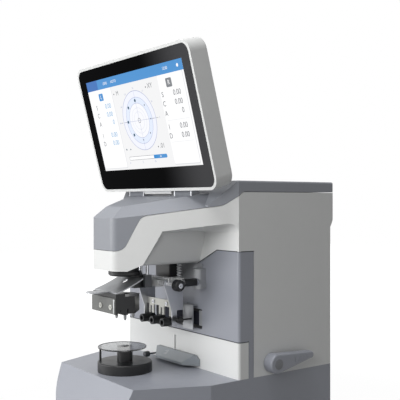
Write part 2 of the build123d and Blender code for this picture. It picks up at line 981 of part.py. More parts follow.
# Lens holder
pin_low_y = axis_y - holder_pin_pitch * sin(radians(30))
pin_side_x = holder_pin_pitch * cos(radians(30))
pin_places = [(-pin_side_x, pin_low_y), (pin_side_x, pin_low_y), (0, axis_y + holder_pin_pitch)]
pin_end = holder_tip_end + socket_radius / 2
with BuildPart() as holder_block:
    with BuildSketch(Plane.XY.offset(holder_block_bottom)):
        with BuildLine():
            right_half = [
                (holder_plate_width / 2, holder_block_front),
                (holder_plate_width / 2, holder_block_shoulder),
                (holder_block_rear_half, holder_block_rear),
            ]
            Polyline(*mirrored_line(right_half), close=True)
        make_face()
    extrude(amount=holder_block_rear_top - holder_block_bottom)
    with BuildSketch(Plane.XY.offset(holder_block_rear_top)):
        with Locations((0, (holder_block_front + holder_block_step) / 2)):
            Rectangle(holder_plate_width, holder_block_step - holder_block_front)
    extrude(amount=holder_block_top - holder_block_rear_top)
    with BuildSketch(Plane.YZ.offset(-holder_plate_width / 2)):
        with Locations((holder_slot_y, holder_block_bottom)):
            Rectangle(holder_slot_width, 2 * holder_slot_depth)
        with BuildLine():
            Polyline(
                (holder_block_front + wall / 2, holder_block_bottom),
                (holder_notch_rear, holder_block_bottom),
                (holder_notch_rear, holder_block_bottom + holder_slot_depth),
                close=True,
            )
        make_face()
    extrude(amount=holder_plate_width, mode=Mode.SUBTRACT)
    with BuildSketch(Plane.XY.offset(socket_bottom)):
        with Locations(*pin_places):
            Circle(socket_radius)
    extrude(amount=holder_block_bottom - socket_bottom)
    with BuildSketch(Plane.XY.offset(socket_bottom)):
        with Locations((0, axis_y)):
            Circle(beam_hole)
    extrude(amount=holder_block_top - socket_bottom, mode=Mode.SUBTRACT)
    with BuildSketch(Plane.XY.offset(socket_bottom)):
        with Locations(*pin_places):
            Circle(holder_pin_radius + running_gap)
    extrude(amount=holder_block_rear_top - socket_bottom - wall, mode=Mode.SUBTRACT)
save(holder_block.part, "holder_block")

with BuildPart() as holder_plate:
    with BuildSketch(Plane.XZ.offset(-holder_block_front)):
        with Locations((0, holder_plate_bottom + holder_plate_height / 2)):
            Rectangle(holder_plate_width, holder_plate_height)
    extrude(amount=holder_plate_thickness)
    chamfer(holder_plate.edges().filter_by(Axis.Y), holder_plate_thickness / 3)
save(holder_plate.part, "holder_plate")

with BuildPart() as holder_pins:
    with BuildSketch(Plane.XY.offset(pin_end)):
        with Locations(*pin_places):
            Circle(holder_pin_radius)
    extrude(amount=holder_block_rear_top - wall - pin_end)
    with BuildSketch(Plane.XY.offset(holder_tip_end)):
        with Locations(*pin_places):
            Circle(holder_tip_radius)
    extrude(amount=pin_end - holder_tip_end)
    fillet(holder_pins.edges().group_by(Axis.Z)[0], holder_tip_radius / 2)
save(holder_pins.part, "holder_pins")

with BuildPart() as holder_arm:
    with BuildSketch(Plane.YZ.offset(-arm_half)):
        with BuildLine():
            lower = ThreePointArc(
                (arm_low_y, holder_block_top),
                (arm_mid_y, arm_mid_z - holder_sheet),
                (bracket_front, arm_high_z - holder_sheet),
            )
            upper = ThreePointArc(
                (arm_low_y, holder_block_top + holder_sheet),
                (arm_mid_y, arm_mid_z),
                (bracket_front, arm_high_z),
            )
            Line(lower @ 0, upper @ 0)
            Line(lower @ 1, upper @ 1)
        make_face()
    extrude(amount=2 * arm_half)
    with BuildSketch(Plane.XY.offset(holder_block_top)):
        with Locations((0, axis_y)):
            Circle(arm_hole)
    extrude(amount=bracket_high - holder_block_top, mode=Mode.SUBTRACT)
    with BuildSketch(Plane.XY.offset(holder_block_top)) as tongue:
        with Locations((0, arm_low_y - tongue_length / 2)):
            Rectangle(2 * tongue_half, tongue_length)
        fillet(tongue.vertices().group_by(Axis.Y)[0], tongue_half - seat_gap)
    extrude(amount=holder_sheet)
save(holder_arm.part, "holder_arm")

rod_side = holder_rod_x + guide_rod_radius
with BuildPart() as holder_bracket:
    with BuildSketch(Plane.XY.offset(bracket_low)):
        with BuildLine():
            step_y = holder_rod_y - bush_radius - guide_rod_radius
            right_half = [
                (bracket_half, bracket_front),
                (bracket_half, step_y),
                (rod_side + guide_rod_radius, step_y),
                (rod_side + guide_rod_radius, bracket_rear),
            ]
            Polyline(*mirrored_line(right_half), close=True)
        make_face()
    extrude(amount=bracket_high - bracket_low)
    cross_pin_half = bracket_half + cross_pin_overhang
    with BuildSketch(Plane.YZ.offset(-cross_pin_half)):
        with Locations((cross_pin_y, cross_pin_z)):
            Circle(cross_pin_radius)
    extrude(amount=2 * cross_pin_half)
save(holder_bracket.part, "holder_bracket")

holder_rod_top = beam_z + plate_thickness + wall
with BuildPart() as holder_rods:
    with BuildSketch(Plane.XY.offset(bracket_high)):
        with Locations((-holder_rod_x, holder_rod_y), (holder_rod_x, holder_rod_y)):
            Circle(guide_rod_radius)
    extrude(amount=holder_rod_top - bracket_high)
save(holder_rods.part, "holder_rods")

# Marker: fixed guide, spring and posts
with BuildPart() as marker_guide:
    with BuildSketch(Plane.XY.offset(guide_low)):
        with Locations((0, (guide_front + guide_rear) / 2)):
            RectangleRounded(2 * guide_half, guide_rear - guide_front, running_gap * 20)
        with Locations((-marker_rod_x, marker_rod_y), (marker_rod_x, marker_rod_y)):
            Circle(guide_rod_radius + running_gap, mode=Mode.SUBTRACT)
    extrude(amount=core_bottom - guide_low)
save(marker_guide.part, "marker_guide")

spring_low = carriage_top + seat_gap
spring_high = core_bottom - seat_gap
coil_pitch = (spring_high - spring_low) / spring_coils
with BuildPart() as marker_spring:
    with BuildSketch(Plane.XY.offset(spring_low)):
        with Locations((spring_x, marker_rod_y)):
            Circle(spring_core_radius)
    extrude(amount=spring_high - spring_low)
    for coil in range(spring_coils):
        with BuildSketch(Plane.XY.offset(spring_low + (coil + 0.25) * coil_pitch)):
            with Locations((spring_x, marker_rod_y)):
                Circle(spring_radius)
        extrude(amount=coil_pitch / 2)
save(marker_spring.part, "marker_spring")

with BuildPart() as marker_boss:
    with BuildSketch(Plane.XY.offset(boss_low)):
        with Locations((boss_x, column_front - boss_radius)):
            Circle(boss_radius)
        with Locations((boss_x, column_front - boss_radius / 2)):
            Rectangle(2 * boss_radius, boss_radius)
    extrude(amount=boss_high - boss_low)
    chamfer(marker_boss.faces().sort_by(Axis.Z)[-1].edges(), wall / 5)
    with BuildSketch(Plane.XZ.offset(-column_front)):
        with Locations(((boss_base_left + boss_x) / 2, (boss_base_low + boss_base_high) / 2)):
            Rectangle(boss_x - boss_base_left, boss_base_high - boss_base_low)
    extrude(amount=boss_base_sheet)
    shaft_x = (knob_inner_x + knob_outer_x) / 2
    with BuildSketch(Plane.XZ.offset(-(column_front - boss_radius))):
        with Locations((shaft_x, buffer_z)):
            Circle(buffer_shaft_radius)
    extrude(amount=column_front - boss_radius - (pivot_y + knob_radius + seat_gap))
save(marker_boss.part, "marker_boss")

plate_width = pad_plate_right - pad_plate_left
plate_mid_x = (pad_plate_left + pad_plate_right) / 2
with BuildPart() as pad_bracket:
    with BuildSketch(Plane.XZ.offset(-pad_plate_y)):
        with Locations((plate_mid_x, (pad_plate_bottom + pad_plate_top) / 2)):
            Rectangle(plate_width, pad_plate_top - pad_plate_bottom)
    extrude(amount=-pad_plate_sheet)
    with BuildSketch(Plane.XY.offset(pad_plate_top - pad_plate_sheet)):
        with Locations((plate_mid_x, (pad_plate_y + column_front) / 2)):
            Rectangle(plate_width, column_front - pad_plate_y)
    extrude(amount=pad_plate_sheet)
save(pad_bracket.part, "pad_bracket")

with BuildPart() as pad_stopper:
    with BuildSketch(Plane.XZ.offset(-pad_plate_y)):
        with Locations((stopper_x, stopper_z)):
            Circle(stopper_rod_radius)
    extrude(amount=stopper_rod_length)
    with BuildSketch(Plane.XZ.offset(-pad_plate_y + stopper_rod_length)):
        with Locations((stopper_x, stopper_z)):
            Circle(stopper_radius)
    extrude(amount=stopper_length, taper=degrees(atan2(stopper_radius / 3, stopper_length)))
save(pad_stopper.part, "pad_stopper")

# Marker: sliding carriage
with BuildPart() as marker_carriage:
    with BuildSketch(Plane.YZ.offset(-guide_half)):
        with BuildLine():
            Polyline(
                (carriage_front, carriage_low),
                (carriage_front, carriage_front_top),
                (carriage_step_y, carriage_front_top),
                (carriage_step_y, carriage_top),
                (guide_rear, carriage_top),
                (guide_rear, carriage_low),
                close=True,
            )
        make_face()
    extrude(amount=2 * guide_half)
    with BuildSketch(Plane.XY.offset(carriage_low)):
        with Locations(((guide_half + spring_ear) / 2, marker_rod_y)):
            Rectangle(spring_ear - guide_half, 2 * spring_radius)
    extrude(amount=carriage_top - carriage_low)
    with BuildSketch(Plane.YZ.offset(-guide_half)):
        with Locations((pivot_y, pivot_z)):
            Circle(pivot_radius + running_gap)
    extrude(amount=2 * guide_half, mode=Mode.SUBTRACT)
    with BuildSketch(Plane.XY.offset(carriage_top)):
        with Locations((-marker_rod_x, marker_rod_y), (marker_rod_x, marker_rod_y)):
            Circle(guide_rod_radius)
    extrude(amount=marker_rod_top - carriage_top)
save(marker_carriage.part, "marker_carriage")

# Marker: swinging frame
with BuildPart() as pivot_rod:
    with BuildSketch(Plane.YZ.offset(pivot_left)):
        with Locations((pivot_y, pivot_z)):
            Circle(pivot_radius)
    extrude(amount=knob_outer_x - screw_head_height - pivot_left)
    with BuildSketch(Plane.YZ.offset(pivot_left)):
        with Locations((pivot_y, pivot_z)):
            Circle(pivot_nut_radius)
    extrude(amount=-pivot_nut_radius)
    chamfer(pivot_rod.faces().sort_by(Axis.X)[0].edges(), pivot_nut_radius / 3)
save(pivot_rod.part, "pivot_rod")

with BuildPart() as marker_knob:
    with BuildSketch(Plane.YZ.offset(knob_inner_x)):
        with Locations((pivot_y, pivot_z)):
            Circle(knob_radius)
            Circle(pivot_radius, mode=Mode.SUBTRACT)
    extrude(amount=knob_outer_x - knob_inner_x)
    knob_rims = marker_knob.edges().filter_by(GeomType.CIRCLE)
    chamfer(knob_rims.filter_by(lambda edge: edge.radius > 2 * pivot_radius), wall / 5)
save(marker_knob.part, "marker_knob")

with BuildPart() as side_arms:
    with BuildSketch(Plane.YZ.offset(side_arm_x)):
        with BuildLine():
            Polyline(
                (pivot_y - arm_top_half, pivot_z),
                (arm_strip_front, arm_wing_bottom),
                (arm_strip_front, arm_strip_bottom),
                (arm_strip_rear, arm_strip_bottom),
                (arm_strip_rear, arm_wing_bottom),
                (arm_wing_rear, arm_wing_bottom),
                (arm_wing_rear, arm_wing_top),
                (pivot_y, pivot_z + arm_top_half),
                close=True,
            )
        make_face()
        with Locations((pivot_y, pivot_z)):
            Circle(arm_top_half)
            Circle(pivot_radius, mode=Mode.SUBTRACT)
    extrude(amount=arm_sheet)
    mirror(about=Plane.YZ)
save(side_arms.part, "side_arms")

pen_xs = [pen_middle_x + turn * pen_pitch for turn in (-1, 0, 1)]
with BuildPart() as comb_plate:
    with BuildSketch(Plane.XZ.offset(-comb_y)):
        with Locations((0, (comb_bar_bottom + comb_top) / 2)):
            Rectangle(2 * side_arm_x, comb_top - comb_bar_bottom)
        for pen_x in pen_xs:
            with Locations((pen_x, (comb_bottom + comb_bar_bottom) / 2)):
                Rectangle(2 * comb_tooth_half, comb_bar_bottom - comb_bottom)
            with Locations((pen_x, (comb_bottom + comb_bar_bottom) / 2 - comb_slot_half)):
                slot_height = comb_bar_bottom - comb_bottom
                Rectangle(2 * comb_slot_half, slot_height, mode=Mode.SUBTRACT)
    extrude(amount=-comb_sheet)
save(comb_plate.part, "comb_plate")

pen_rear = pen_front + pen_length
with BuildPart() as pen_holders:
    for pen_x in pen_xs:
        with BuildSketch(Plane.XZ.offset(-pen_front)):
            with Locations((pen_x, pen_z)):
                Circle(pen_radius)
        extrude(amount=-pen_length)
        with BuildSketch(Plane.XY.offset(pen_z)):
            with Locations((pen_x, comb_y + comb_sheet / 2)):
                Rectangle(2 * pen_clamp_half, 2 * comb_sheet + seam_gap)
        extrude(amount=comb_bottom - pen_z)
        with BuildSketch(Plane.XZ.offset(-pen_front)):
            with Locations((pen_x, pen_z)):
                Circle(pen_bore)
        extrude(amount=-pen_bore_depth, mode=Mode.SUBTRACT)
        with BuildSketch(Plane.XZ.offset(-pen_rear)):
            with Locations((pen_x, pen_z)):
                Circle(tip_radius)
        extrude(amount=-tip_length)
save(pen_holders.part, "pen_holders")

bail_foot = pivot_z + pivot_radius + running_gap * 2
with BuildPart() as marker_bails:
    for left, right, top in (
        (bail_left, bail_right, bail_top),
        (inner_bail_left, inner_bail_right, inner_bail_top),
    ):
        with BuildLine(Plane.XZ.offset(-pivot_y)) as bail_path:
            corners = [(left, bail_foot), (left, top), (right, top), (right, bail_foot)]
            FilletPolyline(*corners, radius=bail_corner)
        with BuildSketch(Plane(origin=bail_path.line @ 0, z_dir=bail_path.line % 0)):
            Circle(bail_wire)
        sweep(path=bail_path.line)
save(marker_bails.part, "marker_bails")

# Lens table with its rods and the yoke that the crank moves
table_back = column_front - table_back_gap
table_front = table_back - table_depth
with BuildPart() as table_bar:
    with BuildSketch(Plane.YZ.offset(-table_half)):
        with BuildLine():
            Polyline(
                (table_back, table_bottom),
                (table_front, table_bottom),
                (table_front, table_nose_z),
                (table_back - groove_inset - groove_width, table_top),
                (table_back, table_top),
                close=True,
            )
        make_face()
    extrude(amount=2 * table_half)
    with BuildSketch(Plane.XY.offset(table_bottom)):
        with BuildLine():
            plan_half = [(table_front_half, table_front), (table_half, table_back)]
            Polyline(*mirrored_line(plan_half), close=True)
        make_face()
    extrude(amount=table_top - table_bottom, mode=Mode.INTERSECT)
    with BuildSketch(Plane.XZ.offset(-table_back)):
        with BuildLine():
            end_half = [(table_half, table_bottom), (table_half, table_end_z), (table_end_x, table_top)]
            Polyline(*mirrored_line(end_half), close=True)
        make_face()
    extrude(amount=table_depth, mode=Mode.INTERSECT)
    with BuildSketch(Plane.YZ.offset(-table_half)):
        with Locations((table_back - groove_inset, table_top)):
            Rectangle(groove_width, 2 * groove_depth)
    extrude(amount=2 * table_half, mode=Mode.SUBTRACT)
save(table_bar.part, "table_bar")

crank_rest_y = table_travel / 2
crank_rest_z = sqrt(crank_radius**2 - crank_rest_y**2)
crank_pin_y = lever_y + crank_rest_y
crossbar_half = rail_x + 2 * rail_radius
crossbar_front = rail_end_y - 2 * wall
with BuildPart() as table_slide:
    with BuildSketch(Plane.XZ.offset(-table_back)):
        with Locations((-rail_x, rail_z), (rail_x, rail_z)):
            Circle(rail_radius)
    extrude(amount=table_back - rail_end_y)
    with BuildSketch(Plane.XZ.offset(-crossbar_front)):
        with Locations((0, rail_z)):
            Rectangle(2 * crossbar_half, 4 * rail_radius)
    extrude(amount=crossbar_front - rail_end_y)
    with BuildSketch(Plane.YZ.offset(yoke_inner_x)):
        with BuildLine():
            yoke_half = crank_pin_radius + wall
            yoke_top = lever_z + crank_radius + yoke_half
            Polyline(
                (crank_pin_y - yoke_half, rail_z - 2 * rail_radius),
                (crank_pin_y - yoke_half, yoke_top),
                (crank_pin_y + yoke_half, yoke_top),
                (crank_pin_y + yoke_half, rail_z - 2 * rail_radius),
                close=True,
            )
        make_face()
        slot_height = crank_radius - crank_rest_z + 2 * (crank_pin_radius + yoke_slot_gap)
        with Locations((crank_pin_y, lever_z + (crank_radius + crank_rest_z) / 2)):
            slot_width = 2 * (crank_pin_radius + yoke_slot_gap)
            Rectangle(slot_width, slot_height, mode=Mode.SUBTRACT)
    extrude(amount=yoke_sheet)
save(table_slide.part, "table_slide")

with BuildPart() as slide_bearings:
    with BuildSketch(Plane.XZ.offset(-rail_block_front)):
        for side in (-1, 1):
            with Locations((side * rail_x, (deck_z + table_top) / 2)):
                Rectangle(2 * rail_block_half, table_top - deck_z)
            with Locations((side * rail_x, rail_z)):
                Circle(rail_radius + running_gap, mode=Mode.SUBTRACT)
    extrude(amount=-rail_block_length)
    with BuildSketch(Plane.YZ.offset(lever_bracket_x)):
        bracket_half_depth = 2 * lever_shaft_radius
        bracket_top = lever_z + 2 * lever_shaft_radius
        with Locations((lever_y, (deck_z + bracket_top) / 2)):
            Rectangle(2 * bracket_half_depth, bracket_top - deck_z)
        with Locations((lever_y, lever_z)):
            Circle(lever_shaft_radius + running_gap, mode=Mode.SUBTRACT)
    extrude(amount=lever_bracket_sheet)
save(slide_bearings.part, "slide_bearings")

# Lever with its shaft, crank and bush
hub_inner_x = column_half + lever_hub_gap
grip_inner_x = lever_outer_x - lever_grip_width
with BuildPart() as lever_shaft:
    with BuildSketch(Plane.YZ.offset(crank_inner_x)):
        with Locations((lever_y, lever_z)):
            Circle(lever_shaft_radius)
    extrude(amount=grip_inner_x - crank_inner_x)
    with BuildSketch(Plane.YZ.offset(crank_inner_x)):
        with BuildLine():
            reach = Vector(crank_rest_y, crank_rest_z).normalized()
            across = Vector(-reach.Y, reach.X) * (crank_pin_radius + seat_gap * 5)
            hub_point = Vector(lever_y, lever_z)
            end_point = hub_point + reach * crank_radius
            Polyline(
                hub_point - across,
                end_point - across,
                end_point + across,
                hub_point + across,
                close=True,
            )
        make_face()
        with Locations((lever_y, lever_z)):
            Circle(2 * lever_shaft_radius - seat_gap)
        with Locations((end_point.X, end_point.Y)):
            Circle(crank_pin_radius + seat_gap * 5)
    extrude(amount=crank_sheet)
    with BuildSketch(Plane.YZ.offset(yoke_inner_x)):
        with Locations((end_point.X, end_point.Y)):
            Circle(crank_pin_radius)
    extrude(amount=crank_inner_x - yoke_inner_x)
save(lever_shaft.part, "lever_shaft")

with BuildPart() as lever_bush:
    with BuildSketch(Plane.YZ.offset(column_half - wall)):
        with Locations((lever_y, lever_z)):
            Circle(lever_bush_radius)
            Circle(lever_shaft_radius + running_gap, mode=Mode.SUBTRACT)
    extrude(amount=wall)
save(lever_bush.part, "lever_bush")

with BuildPart() as side_lever:
    with BuildSketch(Plane.YZ.offset(grip_inner_x)):
        with BuildLine():
            slope = (lever_grip_z - lever_z) / (lever_grip_y - lever_y)
            Polyline(
                (lever_y, lever_z - lever_hub_radius),
                (lever_grip_y, lever_grip_z - lever_grip_radius),
                (lever_grip_y, lever_grip_z + lever_grip_radius),
                (lever_y, lever_z + lever_hub_radius),
                close=True,
            )
        make_face()
        with Locations((lever_y, lever_z)):
            Circle(lever_hub_radius)
        with Locations((lever_grip_y, lever_grip_z)):
            Circle(lever_grip_radius)
    extrude(amount=lever_grip_width)
    fillet(side_lever.faces().sort_by(Axis.X)[-1].edges(), lever_grip_radius / 2)
    with BuildSketch(Plane.YZ.offset(hub_inner_x)):
        with Locations((lever_y, lever_z)):
            Circle(lever_hub_radius)
            Circle(lever_shaft_radius, mode=Mode.SUBTRACT)
    extrude(amount=grip_inner_x - hub_inner_x)
save(side_lever.part, "side_lever")

# Monitor on its hinge
lean = radians(monitor_lean)
hinge_plane = Plane(
    origin=(0, hinge_y, hinge_z),
    x_dir=(1, 0, 0),
    z_dir=(0, -cos(lean), -sin(lean)),
)
monitor_back_z = -hinge_before_back
monitor_front_z = monitor_depth - hinge_before_back
shell_front_z = monitor_front_z - bezel_depth
monitor_mid_y = monitor_height / 2 - hinge_above_edge
monitor_bottom_y = -hinge_above_edge
shell_depth = shell_front_z - monitor_back_z
notch_inner_x = stand_inner_x - stand_plate - hinge_side_gap
notch_outer_x = stand_outer_x + stand_plate + 2 * hinge_side_gap
notch_top = hinge_eye_radius + 2 * hinge_side_gap
block_inner_x = notch_inner_x / 2
block_outer_x = notch_outer_x + notch_inner_x / 2
with BuildPart() as monitor_back:
    with BuildSketch(hinge_plane.offset(monitor_back_z)):
        with Locations((0, monitor_mid_y)):
            RectangleRounded(monitor_width, monitor_height, monitor_corner_radius)
    extrude(amount=shell_depth)
    back_face = monitor_back.faces().sort_by(Axis(hinge_plane.origin, hinge_plane.z_dir))[0]
    fillet(back_face.edges(), monitor_edge_radius)
    with BuildSketch(hinge_plane.offset(monitor_back_z + monitor_wall)):
        with Locations((0, monitor_mid_y)):
            inner_width = monitor_width - 2 * monitor_wall
            inner_height = monitor_height - 2 * monitor_wall
            RectangleRounded(inner_width, inner_height, monitor_corner_radius - monitor_wall)
    extrude(amount=shell_depth, mode=Mode.SUBTRACT)
    with BuildSketch(hinge_plane.offset(monitor_back_z + monitor_edge_radius)):
        for side in (-1, 1):
            block_mid_y = (monitor_bottom_y + monitor_wall / 2 + notch_top + wall) / 2
            with Locations((side * (block_inner_x + block_outer_x) / 2, block_mid_y)):
                block_height = notch_top + wall - monitor_bottom_y - monitor_wall / 2
                Rectangle(block_outer_x - block_inner_x, block_height)
    extrude(amount=notch_front + monitor_wall - monitor_back_z - monitor_edge_radius)
    with BuildSketch(hinge_plane.offset(monitor_back_z)):
        for side in (-1, 1):
            notch_mid = side * (notch_inner_x + notch_outer_x) / 2
            with Locations((notch_mid, (monitor_bottom_y + notch_top) / 2)):
                Rectangle(notch_outer_x - notch_inner_x, notch_top - monitor_bottom_y)
    extrude(amount=notch_front - monitor_back_z, mode=Mode.SUBTRACT)
    with BuildSketch(Plane.YZ.offset(-block_outer_x)):
        with Locations((hinge_y, hinge_z)):
            Circle(hinge_shaft_radius)
    extrude(amount=2 * block_outer_x, mode=Mode.SUBTRACT)
    with BuildSketch(hinge_plane.offset(shell_front_z - monitor_edge_radius - hinge_lip_depth)):
        with Locations((0, monitor_bottom_y - hinge_lip_drop / 2 + monitor_edge_radius / 2)):
            Rectangle(2 * hinge_lip_half, hinge_lip_drop + monitor_edge_radius)
    extrude(amount=hinge_lip_depth)
save(monitor_back.part, "monitor_back")

with BuildPart() as monitor_bezel:
    with BuildSketch(hinge_plane.offset(shell_front_z)):
        with Locations((0, monitor_mid_y)):
            opening_width = monitor_width - 2 * bezel_width
            opening_height = monitor_height - 2 * bezel_width
            RectangleRounded(monitor_width, monitor_height, monitor_corner_radius)
            opening_radius = monitor_corner_radius - bezel_width
            RectangleRounded(opening_width, opening_height, opening_radius, mode=Mode.SUBTRACT)
    extrude(amount=bezel_depth)
save(monitor_bezel.part, "monitor_bezel")

glass_gap = seat_gap / 2
glass_back_z = monitor_front_z - glass_thickness - running_gap
with BuildPart() as cover_glass:
    with BuildSketch(hinge_plane.offset(glass_back_z)):
        with Locations((0, monitor_mid_y)):
            glass_width = opening_width - 2 * glass_gap
            glass_height = opening_height - 2 * glass_gap
            RectangleRounded(glass_width, glass_height, opening_radius - glass_gap)
    extrude(amount=glass_thickness)
save(cover_glass.part, "cover_glass")

with BuildPart() as lcd_panel:
    with BuildSketch(hinge_plane.offset(glass_back_z - lcd_thickness)):
        with Locations((0, monitor_bottom_y + lcd_bottom + lcd_height / 2)):
            Rectangle(2 * lcd_half_width, lcd_height)
    extrude(amount=lcd_thickness)
save(lcd_panel.part, "lcd_panel")

with BuildPart() as hinge_shafts:
    with BuildSketch(Plane.YZ.offset(block_inner_x)):
        with Locations((hinge_y, hinge_z)):
            Circle(hinge_shaft_radius)
    extrude(amount=block_outer_x - block_inner_x)
    mirror(about=Plane.YZ)
save(hinge_shafts.part, "hinge_shafts")


def stand_outline(grow=0):
    """Side view of one hinge stand: a foot on the sloping top and an eye round the shaft."""
    foot_front = hinge_y - stand_half_depth
    foot_rear = hinge_y + stand_half_depth
    eye = hinge_eye_radius + grow
    with BuildSketch() as outline:
        with BuildLine():
            Polyline(
                (foot_front, top_plane_z + (foot_front - top_plane_y) * top_plane_slope),
                (hinge_y - eye, hinge_z),
                (hinge_y + eye, hinge_z),
                (foot_rear, top_plane_z + (foot_rear - top_plane_y) * top_plane_slope),
                close=True,
            )
        make_face()
        with Locations((hinge_y, hinge_z)):
            Circle(eye)
            Circle(hinge_shaft_radius + running_gap, mode=Mode.SUBTRACT)
    return outline.sketch


with BuildPart() as hinge_stands:
    with BuildSketch(Plane.YZ.offset(stand_inner_x)):
        add(stand_outline())
    extrude(amount=stand_outer_x - stand_inner_x)
    mirror(about=Plane.YZ)
save(hinge_stands.part, "hinge_stands")

with BuildPart() as hinge_side_plates:
    for plate_x in (stand_inner_x - stand_plate, stand_outer_x):
        with BuildSketch(Plane.YZ.offset(plate_x)):
            add(stand_outline(seat_gap))
        extrude(amount=stand_plate)
    mirror(about=Plane.YZ)
save(hinge_side_plates.part, "hinge_side_plates")

# Rear: service cover with vents, connector panel, inlet and switch
with BuildPart() as service_cover:
    with BuildSketch(Plane.XZ.offset(-column_rear)):
        with Locations((0, (service_low + service_high) / 2)):
            RectangleRounded(2 * service_half, service_high - service_low, wall)
        with Locations((0, (vent_low + vent_high) / 2)):
            with GridLocations(1, (vent_high - vent_low) / (vent_count - 1), 1, vent_count):
                SlotOverall(2 * vent_half_length, vent_width, mode=Mode.SUBTRACT)
    extrude(amount=-service_sheet)
save(service_cover.part, "service_cover")

panel_rear = column_rear + rear_panel_sheet
with BuildPart() as rear_panel:
    with BuildSketch(Plane.XZ.offset(-column_rear)):
        with Locations((0, rear_mid)):
            RectangleRounded(2 * rear_panel_half, rear_panel_high - rear_panel_low, wall)
        with Locations((inlet_x, rear_mid)):
            width = 2 * (inlet_half + seat_gap)
            Rectangle(width, 2 * (inlet_half_height + seat_gap), mode=Mode.SUBTRACT)
        with Locations((switch_x, rear_mid)):
            width = 2 * (switch_half + seat_gap)
            Rectangle(width, 2 * (switch_half_height + seat_gap), mode=Mode.SUBTRACT)
    extrude(amount=-rear_panel_sheet)
    with BuildSketch(Plane.XZ.offset(-column_rear)):
        with Locations((port_x, rear_mid)):
            Rectangle(2 * port_half, 2 * port_half_height)
    extrude(amount=port_depth)
    with BuildSketch(Plane.XZ.offset(-panel_rear)):
        with Locations((port_x, rear_mid)):
            inner_half = port_half - inlet_wall
            Rectangle(2 * inner_half, 2 * (port_half_height - inlet_wall))
    extrude(amount=port_depth, mode=Mode.SUBTRACT)
save(rear_panel.part, "rear_panel")

cavity_depth = inlet_depth - 2 * inlet_wall
flange = 2 * inlet_wall
with BuildPart() as power_inlet:
    with BuildSketch(Plane.XZ.offset(-panel_rear)):
        with Locations((inlet_x, rear_mid)):
            Rectangle(2 * inlet_half, 2 * inlet_half_height)
    extrude(amount=inlet_depth)
    with BuildSketch(Plane.XZ.offset(-panel_rear)):
        with Locations((inlet_x, rear_mid)):
            flange_width = 2 * inlet_half + flange
            RectangleRounded(flange_width, 2 * inlet_half_height + flange, inlet_wall)
    extrude(amount=-rear_panel_sheet)
    with BuildSketch(Plane.XZ.offset(-panel_rear - rear_panel_sheet)):
        with Locations((inlet_x, rear_mid)):
            cavity_width = 2 * (inlet_half - inlet_wall)
            RectangleRounded(cavity_width, 2 * (inlet_half_height - inlet_wall), inlet_wall)
    extrude(amount=cavity_depth, mode=Mode.SUBTRACT)
    pin_root = panel_rear + rear_panel_sheet - cavity_depth
    with BuildSketch(Plane.XZ.offset(-pin_root)):
        pin_pitch = inlet_half / 2
        for shift_x, shift_z in ((-pin_pitch, -inlet_wall), (0, inlet_wall), (pin_pitch, -inlet_wall)):
            with Locations((inlet_x + shift_x, rear_mid + shift_z)):
                Rectangle(inlet_wall, 2 * inlet_wall)
    extrude(amount=-inlet_pin_length)
save(power_inlet.part, "power_inlet")

rocker_pivot_y = panel_rear - 2 * wall
rocker_half = switch_half - inlet_wall - rocker_gap
trunnion_radius = lens_rim
with BuildPart() as switch_housing:
    with BuildSketch(Plane.XZ.offset(-panel_rear)):
        with Locations((switch_x, rear_mid)):
            Rectangle(2 * switch_half, 2 * switch_half_height)
    extrude(amount=inlet_depth)
    with BuildSketch(Plane.XZ.offset(-panel_rear)):
        with Locations((switch_x, rear_mid)):
            flange_width = 2 * switch_half + flange
            RectangleRounded(flange_width, 2 * switch_half_height + flange, inlet_wall)
    extrude(amount=-rear_panel_sheet)
    with BuildSketch(Plane.XZ.offset(-panel_rear - rear_panel_sheet)):
        with Locations((switch_x, rear_mid)):
            Rectangle(2 * (switch_half - inlet_wall), 2 * (switch_half_height - inlet_wall))
    extrude(amount=cavity_depth, mode=Mode.SUBTRACT)
    with BuildSketch(Plane.YZ.offset(switch_x - switch_half)):
        with Locations((rocker_pivot_y, rear_mid)):
            Circle(trunnion_radius + running_gap)
    extrude(amount=2 * switch_half, mode=Mode.SUBTRACT)
save(switch_housing.part, "switch_housing")

rocker_face = panel_rear + rear_panel_sheet - rocker_pivot_y
rocker_tall = switch_half_height - inlet_wall - 2 * rocker_gap
with BuildPart() as power_rocker:
    rocker_plane = Plane(
        origin=(switch_x, rocker_pivot_y, rear_mid),
        x_dir=(0, cos(radians(rocker_angle)), sin(radians(rocker_angle))),
        z_dir=(1, 0, 0),
    )
    with BuildSketch(rocker_plane.offset(-rocker_half)):
        with BuildLine():
            Polyline(
                (-2 * wall, -rocker_tall / 2),
                (rocker_face / 2, -rocker_tall),
                (rocker_face - rear_panel_sheet, -rocker_tall + rocker_gap),
                (rocker_face - 2 * rear_panel_sheet, 0),
                (rocker_face - rear_panel_sheet, rocker_tall - rocker_gap),
                (rocker_face / 2, rocker_tall),
                (-2 * wall, rocker_tall / 2),
                close=True,
            )
        make_face()
    extrude(amount=2 * rocker_half)
    with BuildSketch(rocker_plane.offset(-rocker_half - inlet_wall)):
        Circle(trunnion_radius)
    extrude(amount=2 * (rocker_half + inlet_wall))
save(power_rocker.part, "power_rocker")

# Button in the base front
button_front = base_front - button_proud
flange_front = base_front + wall + running_gap
with BuildPart() as measure_button:
    with BuildSketch(Plane.XZ.offset(-button_front)):
        with Locations((0, button_z)):
            Circle(button_radius)
    extrude(amount=button_front - flange_front - button_travel)
    chamfer(measure_button.faces().sort_by(Axis.Y)[0].edges(), wall / 5)
    with BuildSketch(Plane.XZ.offset(-flange_front)):
        with Locations((0, button_z)):
            Circle(button_radius + button_collar)
    extrude(amount=-button_travel)
save(measure_button.part, "measure_button")
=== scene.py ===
"""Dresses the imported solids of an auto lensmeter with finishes, small pieces, a lit screen and a camera."""

import logging
import math
from dataclasses import dataclass
from enum import Enum
from typing import Optional, Sequence, Union

